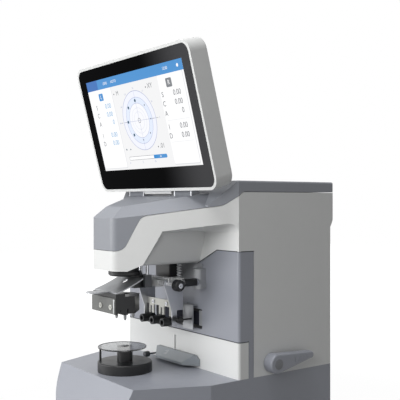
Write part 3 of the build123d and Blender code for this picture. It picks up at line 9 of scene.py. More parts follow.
import bmesh
import bpy
from mathutils import Matrix, Vector


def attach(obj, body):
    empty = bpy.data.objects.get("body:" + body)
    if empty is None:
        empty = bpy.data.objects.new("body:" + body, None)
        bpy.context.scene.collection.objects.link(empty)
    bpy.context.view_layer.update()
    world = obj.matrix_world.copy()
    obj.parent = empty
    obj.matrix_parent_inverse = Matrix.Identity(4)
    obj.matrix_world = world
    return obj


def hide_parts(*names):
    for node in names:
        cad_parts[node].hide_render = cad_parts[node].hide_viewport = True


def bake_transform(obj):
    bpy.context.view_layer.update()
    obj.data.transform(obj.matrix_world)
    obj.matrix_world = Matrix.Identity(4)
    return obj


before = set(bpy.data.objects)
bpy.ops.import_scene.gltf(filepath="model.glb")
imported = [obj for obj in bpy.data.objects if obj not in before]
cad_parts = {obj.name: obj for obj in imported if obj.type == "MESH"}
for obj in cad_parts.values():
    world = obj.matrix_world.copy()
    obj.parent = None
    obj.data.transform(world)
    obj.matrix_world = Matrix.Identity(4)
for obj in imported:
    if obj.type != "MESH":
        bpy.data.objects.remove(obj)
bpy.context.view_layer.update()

LOG = logging.getLogger("lensmeter")
MM = 0.001
WHITE = (1.0, 1.0, 1.0, 1.0)
SMOOTH_ANGLE = 0.6
BEVEL_SHARE = 0.3
CHIP_LENGTH = 7 * MM
CHIP_WIDTH = 5 * MM
Pair = tuple[float, float]
Triple = tuple[float, float, float]


class Tone(Enum):
    """Colours as they are written on a screen, from 0 to 255."""

    HOUSING = (226, 227, 226)
    BLUE_GREY = (148, 151, 160)
    # Painted shade: a darker copy of BLUE_GREY for the top cover, which is the same blue-grey plastic as the
    # front insert.
    COVER = (137, 140, 147)
    GREY = (120, 122, 126)
    DARK_GREY = (74, 76, 80)
    BLACK = (24, 25, 27)
    WHITE_CAP = (206, 208, 208)
    STEEL = (196, 198, 202)
    SHEET = (160, 162, 165)
    COMB = (190, 190, 184)
    BOSS = (164, 166, 169)
    # Painted highlight: near-white tone that makes the chrome wire of the spring, bails and pivot rod read
    # bright even in shade.
    WIRE = (232, 233, 235)
    # Painted shade: the blue-grey of the hinge stands as it looks on a side in shade.
    STAND = (100, 104, 112)
    HOLDER = (100, 101, 99)
    SMOKE = (138, 144, 149)
    ZINC = (168, 172, 176)
    BRASS = (206, 172, 104)
    RUBBER = (34, 34, 35)
    GLASS_BLACK = (10, 10, 11)
    # Painted reflection: the lighter tone that the black glass's colour fades to towards its right edge.
    GLASS_SHEEN = (72, 72, 74)
    BOARD = (28, 92, 58)
    FELT = (40, 42, 52)
    SCREEN_WHITE = (253, 253, 254)
    SCREEN_GREY = (241, 241, 242)
    SCREEN_SHADE = (222, 223, 226)
    SCREEN_BLUE = (62, 142, 208)
    SCREEN_DEEP = (44, 108, 184)
    SCREEN_PALE = (104, 168, 214)
    SCREEN_LINE = (164, 172, 206)
    SCREEN_FAINT = (212, 215, 230)
    SCREEN_HALO = (226, 235, 252)
    SCREEN_MILK = (240, 242, 252)
    SCREEN_CORE = (246, 247, 251)
    SCREEN_MID = (124, 127, 132)
    SCREEN_INK = (88, 92, 98)
    SCREEN_DOT = (38, 82, 104)

    def linear(self, gain: float = 1.0) -> tuple[float, float, float, float]:
        """The tone in linear light.

        Args:
            gain: what the light is multiplied by.

        Returns:
            Red, green, blue and an alpha of 1.
        """
        light = []
        for part in self.value:
            share = part / 255
            straight = share / 12.92 if share <= 0.04045 else ((share + 0.055) / 1.055) ** 2.4
            light.append(min(1.0, straight * gain))
        return (light[0], light[1], light[2], 1.0)


class Value:
    """One shader socket that plain arithmetic works on; each operation adds its Math node."""

    def __init__(self, graph: "Graph", socket: bpy.types.NodeSocket) -> None:
        """Keep the graph and the socket."""
        self.graph = graph
        self.socket = socket

    def _math(self, operation: str, first: "Number", second: "Number") -> "Value":
        """Add one Math node for two numbers or values."""
        return self.graph.node("ShaderNodeMath", {"operation": operation}, {0: first, 1: second})

    def __add__(self, other: "Number") -> "Value":
        """Sum."""
        return self._math("ADD", self, other)

    def __sub__(self, other: "Number") -> "Value":
        """Difference."""
        return self._math("SUBTRACT", self, other)

    def __rsub__(self, other: "Number") -> "Value":
        """Reflected difference."""
        return self._math("SUBTRACT", other, self)

    def __mul__(self, other: "Number") -> "Value":
        """Product."""
        return self._math("MULTIPLY", self, other)

    def larger(self, other: "Number") -> "Value":
        """The larger of two numbers."""
        return self._math("MAXIMUM", self, other)

    __radd__ = __add__
    __rmul__ = __mul__

    def ramp(self, low: float, high: float) -> "Value":
        """Smooth step from 0 at low to 1 at high."""
        settings = {"interpolation_type": "SMOOTHSTEP"}
        return self.graph.node("ShaderNodeMapRange", settings, {"Value": self, 1: low, 2: high})


Number = Union[Value, float]


class Graph:
    """Node tree of one material, or of the world."""

    def __init__(self, name: str, world: bool = False) -> None:
        """Start an empty tree."""
        self.owner = (bpy.data.worlds if world else bpy.data.materials).new(name)
        self.owner.use_nodes = True
        self.tree = self.owner.node_tree
        self.tree.nodes.clear()
        self.coords = self.node("ShaderNodeTexCoord", output="Object")

    def node(
        self,
        kind: str,
        settings: Optional[dict] = None,
        sockets: Optional[dict] = None,
        output: Union[int, str] = 0,
    ) -> Optional[Value]:
        """Add a node.

        Args:
            kind: Blender's name of the node type.
            settings: properties, set before the sockets.
            sockets: values or links by socket name or number.
            output: which output comes back.

        Returns:
            The chosen output, or nothing for a node that ends the tree.
        """
        made = self.tree.nodes.new(kind)
        for key, value in (settings or {}).items():
            setattr(made, key, value)
        for key, value in (sockets or {}).items():
            if isinstance(value, Value):
                self.tree.links.new(value.socket, made.inputs[key])
            else:
                made.inputs[key].default_value = value
        return Value(self, made.outputs[output]) if made.outputs else None

    def noise(self, size: float, detail: float = 3.0, stretch: Triple = (1, 1, 1)) -> Value:
        """Noise.

        Args:
            size: how far its features are across, in metres.
            detail: how many finer layers it has.
            stretch: how much it is squeezed along each axis.

        Returns:
            The noise, about 0 to 1.
        """
        place = self.coords
        if stretch != (1, 1, 1):
            place = self.node("ShaderNodeMapping", {}, {"Vector": place, "Scale": stretch})
        return self.node("ShaderNodeTexNoise", {}, {"Vector": place, "Scale": 1 / size, "Detail": detail})

    def cells(self, size: float) -> Value:
        """Distance inside cells that are about size metres across."""
        return self.node("ShaderNodeTexVoronoi", {}, {"Vector": self.coords, "Scale": 1 / size})

    def blend(self, factor: Number, first: tuple, second: tuple) -> Value:
        """Colour between two colours."""
        sockets = {0: factor, 6: first, 7: second}
        return self.node("ShaderNodeMix", {"data_type": "RGBA"}, sockets, output=2)

    def bump(
        self, height: Value, depth: float, strength: float = 1.0, under: Optional[Value] = None
    ) -> Value:
        """Normal of a relief.

        Args:
            height: the relief, from 0 to 1.
            depth: how deep it is in metres.
            strength: how much of it shows.
            under: a normal that lies below this one.

        Returns:
            The normal.
        """
        sockets = {"Height": height, "Distance": depth, "Strength": strength}
        if under is not None:
            sockets["Normal"] = under
        return self.node("ShaderNodeBump", {}, sockets)

    def surface(self, sockets: dict) -> bpy.types.Material:
        """End the tree in a Principled shader with these sockets."""
        return self.end(self.node("ShaderNodeBsdfPrincipled", {}, sockets))

    def end(self, shader: Value, kind: str = "Material") -> Union[bpy.types.Material, bpy.types.World]:
        """Link the output and hand over what the tree belongs to."""
        self.node("ShaderNodeOutput" + kind, {}, {"Surface": shader})
        return self.owner

    def ray(self, kind: str) -> Value:
        """1 for rays of that kind, else 0."""
        return self.node("ShaderNodeLightPath", output=f"Is {kind} Ray")


@dataclass(frozen=True)
class Moulded:
    """Moulded plastic: eroded grain, slow drift of tone and handling marks."""

    tone: Tone
    roughness: float = 0.42
    grain: float = 0.7 * MM
    relief: float = 0.012 * MM
    drift: float = 0.05
    specular: float = 0.4
    coat: float = 0.0

    def make(self, name: str) -> bpy.types.Material:
        """Build the material."""
        graph = Graph(name)
        slow = graph.noise(70 * MM, 2)
        fine = graph.noise(9 * MM, 4)
        marks = graph.noise(22 * MM, 5, (1, 1, 3)).ramp(0.52, 0.74)
        grain = graph.cells(self.grain)
        pores = graph.noise(self.grain / 2, 2)
        mixed = slow * 0.7 + fine * 0.3
        colour = graph.blend(mixed, self.tone.linear(1 - self.drift), self.tone.linear(1 + self.drift))
        relief = graph.bump(grain * 0.6 + pores * 0.4, self.relief)
        relief = graph.bump(slow, self.relief * 6, 0.5, relief)
        sockets = {
            "Base Color": colour,
            "Roughness": self.roughness - 0.04 + fine * 0.1 + marks * 0.08,
            "Specular IOR Level": self.specular,
            "Coat Weight": self.coat,
            "Coat Roughness": 0.12,
            "Normal": relief,
        }
        return graph.surface(sockets)


@dataclass(frozen=True)
class Plated:
    """Metal with drawn-out polishing lines, smudges and soft dents."""

    tone: Tone
    roughness: float = 0.2
    lines: Triple = (1, 30, 30)
    relief: float = 0.004 * MM
    metallic: float = 1.0

    def make(self, name: str) -> bpy.types.Material:
        """Build the material."""
        graph = Graph(name)
        lines = graph.noise(18 * MM, 6, self.lines)
        smudge = graph.noise(12 * MM, 3).ramp(0.45, 0.7)
        slow = graph.noise(40 * MM, 2)
        colour = graph.blend(slow * 0.6 + lines * 0.4, self.tone.linear(0.9), self.tone.linear(1.06))
        relief = graph.bump(lines, self.relief)
        relief = graph.bump(slow, self.relief * 8, 0.4, relief)
        sockets = {
            "Base Color": colour,
            "Metallic": self.metallic,
            "Roughness": self.roughness - 0.05 + lines * 0.1 + smudge * 0.08,
            "Normal": relief,
        }
        return graph.surface(sockets)


@dataclass(frozen=True)
class Clear:
    """Clear glass or acrylic with wipe marks and a faint tint."""

    tint: tuple = (0.93, 0.95, 0.96, 1.0)
    roughness: float = 0.03
    ior: float = 1.49

    def make(self, name: str) -> bpy.types.Material:
        """Build the material."""
        graph = Graph(name)
        wipe = graph.noise(15 * MM, 4, (1, 4, 1))
        dust = graph.noise(1.5 * MM, 2).ramp(0.6, 0.75)
        deeper = tuple(part * 0.94 for part in self.tint[:3]) + (1.0,)
        sockets = {
            "Base Color": graph.blend(wipe, deeper, self.tint),
            "Roughness": self.roughness + wipe * 0.02 + dust * 0.05,
            "Transmission Weight": 1.0,
            "IOR": self.ior,
            "Normal": graph.bump(wipe, 0.01 * MM),
        }
        return graph.surface(sockets)


@dataclass(frozen=True)
class Lit:
    """Part of the lit picture: its own tone, a backlight that falls off, and a fine pixel grid."""

    tone: Tone
    level: float = 1.0
    pixel: float = 0.35 * MM

    def make(self, name: str) -> bpy.types.Material:
        """Build the material."""
        graph = Graph(name)
        slow = graph.noise(120 * MM, 1)
        grid = graph.cells(self.pixel)
        dim = slow * 0.6 + grid * 0.4
        colour = graph.blend(dim, self.tone.linear(0.97), self.tone.linear(1.0))
        sockets = {
            "Base Color": (0.01, 0.01, 0.01, 1.0),
            "Roughness": 0.08 + slow * 0.04,
            "Specular IOR Level": 0.2,
            "Emission Color": colour,
            "Emission Strength": self.level,
        }
        return graph.surface(sockets)


@dataclass(frozen=True)
class BlackGlass:
    """Cover glass printed black behind, with finger marks in the gloss and a painted reflection: its colour
    lightens towards the right edge.
    """

    tone: Tone = Tone.GLASS_BLACK
    # far: tone of the painted reflection at the right edge; the two lengths below say where along x it starts
    # and where it is full.
    far: Tone = Tone.GLASS_SHEEN
    fade_from: float = 20 * MM
    fade_to: float = 95 * MM

    def make(self, name: str) -> bpy.types.Material:
        """Build the material."""
        graph = Graph(name)
        wipe = graph.noise(35 * MM, 4, (1, 1, 2.5)).ramp(0.4, 0.7)
        touch = graph.cells(16 * MM).ramp(0.28, 0.12)
        slow = graph.noise(150 * MM, 1)
        # Painted reflection: the base colour lightens along x towards the right edge.
        along = graph.node("ShaderNodeSeparateXYZ", {}, {0: graph.coords}).ramp(self.fade_from, self.fade_to)
        share = along * (slow * 0.2 + 0.85)
        sockets = {
            "Base Color": graph.blend(share, self.tone.linear(), self.far.linear()),
            "Roughness": 0.06 + wipe * 0.03 + touch * 0.03,
            "Specular IOR Level": 0.004,
            "Normal": graph.bump(slow, 0.05 * MM, 0.3),
        }
        return graph.surface(sockets)


@dataclass(frozen=True)
class Soft:
    """Rubber or felt: a rough fibre relief with no gloss."""

    tone: Tone
    fibre: float = 0.5 * MM
    relief: float = 0.06 * MM

    def make(self, name: str) -> bpy.types.Material:
        """Build the material."""
        graph = Graph(name)
        fibre = graph.noise(self.fibre, 4)
        slow = graph.noise(14 * MM, 3)
        speck = graph.cells(self.fibre * 3).ramp(0.1, 0.5)
        sockets = {
            "Base Color": graph.blend(slow, self.tone.linear(0.8), self.tone.linear(1.35)),
            "Roughness": 0.78 + fibre * 0.14,
            "Specular IOR Level": 0.25,
            "Normal": graph.bump(fibre * 0.7 + speck * 0.3, self.relief),
        }
        return graph.surface(sockets)


@dataclass(frozen=True)
class Board:
    """Circuit board laminate: weave, copper tracks under the mask, and gloss."""

    tone: Tone = Tone.BOARD

    def make(self, name: str) -> bpy.types.Material:
        """Build the material."""
        graph = Graph(name)
        weave = graph.cells(0.8 * MM)
        tracks = graph.node(
            "ShaderNodeTexBrick",
            {},
            {"Vector": graph.coords, "Scale": 1 / (24 * MM), "Mortar Size": 0.03},
            output="Fac",
        )
        mixed = tracks * 0.7 + graph.noise(30 * MM, 2) * 0.3
        sockets = {
            "Base Color": graph.blend(mixed, self.tone.linear(0.8), self.tone.linear(1.7)),
            "Roughness": 0.3 + weave * 0.15,
            "Normal": graph.bump(tracks * 0.5 + weave * 0.5, 0.04 * MM),
        }
        return graph.surface(sockets)


Finish = Union[Moulded, Plated, Clear, Lit, BlackGlass, Soft, Board]

FINISHES: dict[str, Finish] = {
    "housing_plastic": Moulded(Tone.HOUSING),
    "blue_grey_plastic": Moulded(Tone.BLUE_GREY, roughness=0.36, drift=0.04, specular=0.5),
    # Top cover: blue-grey with painted shade in its tone.
    "cover_painted_shade": Moulded(Tone.COVER, roughness=0.36, drift=0.04, specular=0.5),
    "grey_plastic": Moulded(Tone.GREY),
    # Hinge stands: blue-grey with painted shade in its tone.
    "stand_painted_shade": Moulded(Tone.STAND, roughness=0.38),
    "dark_plastic": Moulded(Tone.DARK_GREY, roughness=0.38),
    "black_plastic": Moulded(Tone.BLACK, roughness=0.35, drift=0.15),
    "cap_plastic": Moulded(Tone.WHITE_CAP, roughness=0.28, coat=0.3),
    "rocker_gloss": Moulded(Tone.BLACK, roughness=0.18, relief=0.004 * MM, coat=0.6),
    "bright_steel": Plated(Tone.STEEL, roughness=0.16),
    "sheet_steel": Plated(Tone.STEEL, roughness=0.3, lines=(30, 1, 1)),
    "zinc_sheet": Plated(Tone.ZINC, roughness=0.42, lines=(1, 1, 12)),
    "brass_pin": Plated(Tone.BRASS, roughness=0.22),
    "seam_dark": Soft(Tone.DARK_GREY, fibre=0.3 * MM, relief=0.01 * MM),
    "foot_rubber": Soft(Tone.RUBBER),
    "ink_felt": Soft(Tone.FELT, fibre=0.9 * MM, relief=0.15 * MM),
    "board_green": Board(),
    "holder_plastic": Moulded(Tone.HOLDER, roughness=0.4, drift=0.08),
    "arm_sheet": Plated(Tone.SHEET, roughness=0.34, lines=(30, 1, 1), metallic=0.8),
    "comb_sheet": Plated(Tone.COMB, roughness=0.38, lines=(30, 1, 1), metallic=0.35),
    "polished_sheet": Plated(Tone.BOSS, roughness=0.34, lines=(1, 1, 20), metallic=0.6),
    "boss_metal": Plated(Tone.BOSS, roughness=0.45, lines=(1, 1, 12), metallic=0.3),
    # Painted highlight: light, weakly metallic wire in place of bright chrome reflections.
    "wire_painted_glint": Plated(Tone.WIRE, roughness=0.22, metallic=0.35),
    "smoked_plastic": Moulded(Tone.SMOKE, roughness=0.2, relief=0.005 * MM, drift=0.1, coat=0.5),
    "milky_plastic": Moulded(Tone.SHEET, roughness=0.25, relief=0.005 * MM, coat=0.4),
    "optical_glass": Clear(),
    "stage_glass": Clear(tint=(0.5, 0.52, 0.53, 1.0), roughness=0.1),
    "screen_glass": BlackGlass(),
}
FINISHES.update({tone.name.lower(): Lit(tone) for tone in Tone if tone.name.startswith("SCREEN")})

MADE: dict[str, bpy.types.Material] = {}


def finish(name: str) -> bpy.types.Material:
    """The material of that name, made on first use."""
    if name not in MADE:
        MADE[name] = FINISHES[name].make(name)
    return MADE[name]


def dress(finish_name: str, *nodes: str) -> None:
    """Give CAD nodes that stay visible their finish.

    Args:
        finish_name: name of the finish.
        nodes: names of the nodes.
    """
    for node in nodes:
        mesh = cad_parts[node].data
        mesh.materials.clear()
        mesh.materials.append(finish(finish_name))


def place_at(origin: Triple, right: Triple = (1, 0, 0), up: Triple = (0, 0, 1)) -> Matrix:
    """Matrix of a local plane, whose z stands out towards the viewer.

    Args:
        origin: where the plane's middle lies.
        right: direction of the plane's x.
        up: direction of the plane's y.

    Returns:
        The matrix from the plane to the frame.
    """
    x = Vector(right).normalized()
    y = Vector(up).normalized()
    z = x.cross(y)
    turned = Matrix((x, y, z)).transposed().to_4x4()
    return Matrix.Translation(Vector(origin)) @ turned


@dataclass
class Piece:
    """One visible piece that rides on a body and is made in its finish; it also holds a slot name."""

    name: str
    body: str
    finish_name: str
    slot: str = ""

    def settle(self, mesh: bpy.types.Mesh, place: Optional[Matrix] = None) -> bpy.types.Object:
        """Put a mesh in the scene as this piece.

        Args:
            mesh: the finished mesh in its own plane.
            place: where the plane lies in the frame.

        Returns:
            The object, riding on its body.
        """
        if place is not None:
            mesh.transform(place)
        mesh.name = self.name
        mesh.materials.clear()
        mesh.materials.append(finish(self.finish_name))
        piece = bpy.data.objects.new(self.name, mesh)
        bpy.context.scene.collection.objects.link(piece)
        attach(piece, self.body)
        LOG.info("%s on %s: %d faces", self.name, self.body, len(mesh.polygons))
        return piece


class Form:
    """Builds the mesh of one piece out of simple closed shapes."""

    def __init__(self) -> None:
        """Start with nothing."""
        self.work = bmesh.new()

    def box(self, middle: Triple, size: Triple, edge: float = 0.0) -> "Form":
        """Add a box.

        Args:
            middle: its middle.
            size: its three lengths.
            edge: how far its edges are rounded.

        Returns:
            The form itself, as every shape here does.
        """
        part = bmesh.new()
        bmesh.ops.create_cube(part, size=1.0)
        bmesh.ops.scale(part, vec=Vector(size), verts=part.verts)
        bmesh.ops.translate(part, vec=Vector(middle), verts=part.verts)
        if edge:
            whole = part.edges[:]
            bmesh.ops.bevel(part, geom=whole, offset=edge, segments=2, affect="EDGES", profile=0.5)
        return self._take(part)

    def lathe(self, profile: Sequence[Pair], steps: int = 40, middle: Triple = (0, 0, 0)) -> "Form":
        """Turn a closed profile round the local z axis.

        Args:
            profile: its points as (radius, height).
            steps: number of flat sides.
            middle: where the axis starts.
        """
        part = bmesh.new()
        rings = []
        for step in range(steps):
            angle = 2 * math.pi * step / steps
            ring = []
            for radius, height in profile:
                point = Vector((radius * math.cos(angle), radius * math.sin(angle), height))
                ring.append(part.verts.new(point + Vector(middle)))
            rings.append(ring)
        count = len(profile)
        for step in range(steps):
            ring, after = rings[step], rings[(step + 1) % steps]
            for corner in range(count):
                following = (corner + 1) % count
                part.faces.new((ring[corner], after[corner], after[following], ring[following]))
        bmesh.ops.remove_doubles(part, verts=part.verts, dist=1e-7)
        return self._take(part)

    def disc(
        self, radius: float, low: float, high: float, edge: float = 0.0, middle: Pair = (0, 0)
    ) -> "Form":
        """Add a solid disc.

        Args:
            radius: its radius.
            low: height of its underside.
            high: height of its top.
            edge: how far its upper rim is rounded.
            middle: where its axis stands.
        """
        profile = [(0, low), (radius, low)]
        if edge:
            corner = edge * BEVEL_SHARE
            profile += [(radius, high - edge), (radius - corner, high - corner), (radius - edge, high)]
        else:
            profile.append((radius, high))
        profile.append((0, high))
        return self.lathe(profile, middle=(middle[0], middle[1], 0))

    def prism(self, outline: Sequence[Pair], low: float, high: float) -> "Form":
        """Add a straight solid over an outline in the local plane, between two heights."""
        part = bmesh.new()
        floor = [part.verts.new((x, y, low)) for x, y in outline]
        roof = [part.verts.new((x, y, high)) for x, y in outline]
        part.faces.new(floor[::-1])
        part.faces.new(roof)
        for number in range(len(outline)):
            after = (number + 1) % len(outline)
            part.faces.new((floor[number], floor[after], roof[after], roof[number]))
        return self._take(part)

    def band(
        self, radius: float, width: float, low: float, high: float, middle: Pair = (0, 0), steps: int = 72
    ) -> "Form":
        """Add a flat ring.

        Args:
            radius: middle of its width.
            width: from its inner to its outer edge.
            low: height of its underside.
            high: height of its top.
            middle: where its axis stands.
            steps: number of flat sides.
        """
        inner, outer = radius - width / 2, radius + width / 2
        profile = [(inner, low), (outer, low), (outer, high), (inner, high)]
        return self.lathe(profile, steps, (middle[0], middle[1], 0))

    def _take(self, part: bmesh.types.BMesh) -> "Form":
        """Join a closed shape to the work with its faces outward."""
        bmesh.ops.recalc_face_normals(part, faces=part.faces)
        held = bpy.data.meshes.new("held")
        part.to_mesh(held)
        part.free()
        self.work.from_mesh(held)
        bpy.data.meshes.remove(held)
        return self

    def mesh(self, smooth: float = SMOOTH_ANGLE) -> bpy.types.Mesh:
        """The finished mesh, smooth where faces meet at less than smooth radians."""
        made = bpy.data.meshes.new("made")
        self.work.to_mesh(made)
        self.work.free()
        made.shade_smooth()
        made.set_sharp_from_angle(angle=smooth)
        return made


def rounded_outline(
    width: float, height: float, radius: float, middle: Pair = (0, 0), steps: int = 6
) -> list[Pair]:
    """Outline of a rounded rectangle in the local plane.

    Args:
        width: length along x.
        height: length along y.
        radius: radius of its corners.
        middle: its middle.
        steps: flat sides to a corner.

    Returns:
        Its points in order.
    """
    points = []
    for quarter, (side, tall) in enumerate(((1, 1), (-1, 1), (-1, -1), (1, -1))):
        corner_x = middle[0] + side * (width / 2 - radius)
        corner_y = middle[1] + tall * (height / 2 - radius)
        for step in range(steps + 1):
            angle = math.pi / 2 * (quarter + step / steps)
            points.append((corner_x + radius * math.cos(angle), corner_y + radius * math.sin(angle)))
    return points


def text_mesh(lines: Sequence[tuple[str, Pair, float]], lift: float, depth: float) -> bpy.types.Mesh:
    """Short generic labels as one mesh.

    Args:
        lines: each label with its middle in the local plane and its size.
        lift: height of the letters' backs over the plane.
        depth: thickness of the letters.

    Returns:
        One mesh with every label.
    """
    joined = bmesh.new()
    for text, (x, y), size in lines:
        curve = bpy.data.curves.new("label", "FONT")
        curve.body = text
        curve.size = size
        curve.extrude = depth / 2
        curve.align_x = "CENTER"
        curve.align_y = "CENTER"
        curve.resolution_u = 3
        holder = bpy.data.objects.new("label", curve)
        bpy.context.scene.collection.objects.link(holder)
        made = bpy.data.meshes.new_from_object(holder.evaluated_get(bpy.context.evaluated_depsgraph_get()))
        made.transform(Matrix.Translation((x, y, lift + depth / 2)))
        joined.from_mesh(made)
        bpy.data.objects.remove(holder)
        bpy.data.meshes.remove(made)
    result = bpy.data.meshes.new("labels")
    joined.to_mesh(result)
    joined.free()
    return result


class Pattern:
    """One Geometry Nodes tree with named inputs, turned into a plain mesh."""

    def __init__(self, name: str, inputs: dict[str, float]) -> None:
        """Start a tree whose inputs hold these sizes; whole numbers become integer inputs."""
        self.tree = bpy.data.node_groups.new(name, "GeometryNodeTree")
        self.values = inputs
        face = self.tree.interface
        face.new_socket(name="Geometry", in_out="OUTPUT", socket_type="NodeSocketGeometry")
        self.keys = {}
        for label, value in inputs.items():
            kind = "NodeSocketInt" if isinstance(value, int) else "NodeSocketFloat"
            self.keys[label] = face.new_socket(name=label, in_out="INPUT", socket_type=kind).identifier
        self.entry = self.tree.nodes.new("NodeGroupInput")
        self.leave = self.tree.nodes.new("NodeGroupOutput")

    def size(self, label: str) -> bpy.types.NodeSocket:
        """Socket of one named input."""
        return self.entry.outputs[label]

    def node(
        self,
        kind: str,
        sockets: Optional[dict] = None,
        settings: Optional[dict] = None,
        output: Union[int, str] = 0,
    ) -> bpy.types.NodeSocket:
        """Add a node; sockets take values, links or lists of links."""
        made = self.tree.nodes.new(kind)
        for key, value in (settings or {}).items():
            setattr(made, key, value)
        for key, value in (sockets or {}).items():
            links = value if isinstance(value, list) else [value]
            for link in links:
                if isinstance(link, bpy.types.NodeSocket):
                    self.tree.links.new(link, made.inputs[key])
                else:
                    made.inputs[key].default_value = link
        return made.outputs[output]

    def vector(self, x: object = 0.0, y: object = 0.0, z: object = 0.0) -> bpy.types.NodeSocket:
        """Vector of three values or links."""
        return self.node("ShaderNodeCombineXYZ", {"X": x, "Y": y, "Z": z})

    def sum(self, first: object, second: object, operation: str = "ADD") -> bpy.types.NodeSocket:
        """One arithmetic step on two numbers or links."""
        return self.node("ShaderNodeMath", {0: first, 1: second}, {"operation": operation})

    def spread(
        self, points: bpy.types.NodeSocket, shape: bpy.types.NodeSocket, **more: object
    ) -> bpy.types.NodeSocket:
        """Put a copy of shape on every point."""
        return self.node("GeometryNodeInstanceOnPoints", {"Points": points, "Instance": shape, **more})

    def grid(self, width: bpy.types.NodeSocket, tall: bpy.types.NodeSocket) -> bpy.types.NodeSocket:
        """Grid of points whose counts are the inputs Columns and Rows."""
        counts = {"Vertices X": self.size("Columns"), "Vertices Y": self.size("Rows")}
        return self.node("GeometryNodeMeshGrid", {"Size X": width, "Size Y": tall, **counts})

    def block(self, *size: object) -> bpy.types.NodeSocket:
        """Box with these three lengths."""
        return self.node("GeometryNodeMeshCube", {"Size": self.vector(*size)})

    def raised(self, shape: bpy.types.NodeSocket, label: str, share: float = 0.5) -> bpy.types.NodeSocket:
        """The shape moved up by a share of a named input."""
        up = self.vector(0.0, 0.0, self.sum(self.size(label), share, "MULTIPLY"))
        return self.node("GeometryNodeTransform", {"Geometry": shape, "Translation": up})

    def bake(self, geometry: bpy.types.NodeSocket, material: bpy.types.Material) -> bpy.types.Mesh:
        """Realise the result as a plain mesh.

        Args:
            geometry: what the tree has built.
            material: its material.

        Returns:
            The mesh.
        """
        real = self.node("GeometryNodeRealizeInstances", {"Geometry": geometry})
        painted = self.node("GeometryNodeSetMaterial", {"Geometry": real, "Material": material})
        self.tree.links.new(painted, self.leave.inputs[0])
        carrier = bpy.data.objects.new("carrier", bpy.data.meshes.new("carrier"))
        bpy.context.scene.collection.objects.link(carrier)
        modifier = carrier.modifiers.new("pattern", "NODES")
        modifier.node_group = self.tree
        for label, value in self.values.items():
            modifier[self.keys[label]] = value
        made = bpy.data.meshes.new_from_object(carrier.evaluated_get(bpy.context.evaluated_depsgraph_get()))
        carrier.modifiers.remove(modifier)
        bpy.data.objects.remove(carrier)
        made.shade_smooth()
        made.set_sharp_from_angle(angle=SMOOTH_ANGLE)
        return made


def screw_heads(
    columns: int, rows: int, pitch_x: float, pitch_y: float, radius: float, height: float
) -> bpy.types.Mesh:
    """Grid of screw heads with a cross recess, lying on the local plane.

    Args:
        columns: screws along x.
        rows: screws along y.
        pitch_x: distance between columns.
        pitch_y: distance between rows.
        radius: radius of a head.
        height: height of a head.

    Returns:
        One mesh with every head.
    """
    sizes = {
        "Columns": columns,
        "Rows": rows,
        "Width": pitch_x * max(columns - 1, 0),
        "Height": pitch_y * max(rows - 1, 0),
        "Head Radius": radius,
        "Head Height": height,
        "Recess": radius * 1.1,
    }
    tree = Pattern("screw_heads", sizes)
    grid = tree.grid(tree.size("Width"), tree.size("Height"))
    tall, long = tree.size("Head Height"), tree.size("Recess")
    cylinder = {"Vertices": 24, "Radius": tree.size("Head Radius"), "Depth": tall}
    head = tree.node("GeometryNodeMeshCylinder", cylinder)
    narrow = tree.sum(long, 0.28, "MULTIPLY")
    bars = [
        tree.raised(tree.block(*size), "Head Height", 0.55)
        for size in ((long, narrow, tall), (narrow, long, tall))
    ]
    both = tree.node("GeometryNodeMeshBoolean", {1: bars}, {"operation": "UNION"})
    recessed = tree.node("GeometryNodeMeshBoolean", {0: head, 1: both}, {"operation": "DIFFERENCE"})
    return tree.bake(tree.spread(grid, tree.raised(recessed, "Head Height")), finish("bright_steel"))


def coil(turns: float, radius: float, height: float, wire: float) -> bpy.types.Mesh:
    """Coil spring that stands on the local plane.

    Args:
        turns: number of turns.
        radius: from the axis to the middle of the wire.
        height: length along the axis.
        wire: radius of the wire.

    Returns:
        The mesh.
    """
    sizes = {"Turns": turns, "Radius": radius, "Height": height, "Wire": wire}
    tree = Pattern("coil", sizes)
    line = tree.node(
        "GeometryNodeCurveSpiral",
        {
            "Resolution": 24,
            "Rotations": tree.size("Turns"),
            "Start Radius": tree.size("Radius"),
            "End Radius": tree.size("Radius"),
            "Height": tree.size("Height"),
        },
    )
    section = tree.node("GeometryNodeCurvePrimitiveCircle", {"Resolution": 8, "Radius": tree.size("Wire")})
    solid = tree.node("GeometryNodeCurveToMesh", {"Curve": line, "Profile Curve": section, "Fill Caps": True})
    # The wire's light tone is a painted highlight of the chrome coil.
    return tree.bake(solid, finish("wire_painted_glint"))


def rib_ring(count: int, radius: float, size: Triple, material: str) -> bpy.types.Mesh:
    """Ribs standing round a circle.

    Args:
        count: number of ribs.
        radius: radius of the circle through their middles.
        size: radial, tangential and axial length of a rib.
        material: name of the finish.

    Returns:
        One mesh with every rib.
    """
    sizes = {"Ribs": count, "Radius": radius, "Deep": size[0], "Wide": size[1], "Long": size[2]}
    tree = Pattern("rib_ring", sizes)
    ring = {"Vertices": tree.size("Ribs"), "Radius": tree.size("Radius")}
    circle = tree.node("GeometryNodeMeshCircle", ring)
    rib = tree.block(tree.size("Deep"), tree.size("Wide"), tree.size("Long"))
    place = tree.node("GeometryNodeInputPosition")
    turn = tree.node("FunctionNodeAlignEulerToVector", {"Vector": place}, {"axis": "X"})
    return tree.bake(tree.spread(circle, rib, Rotation=turn), finish(material))


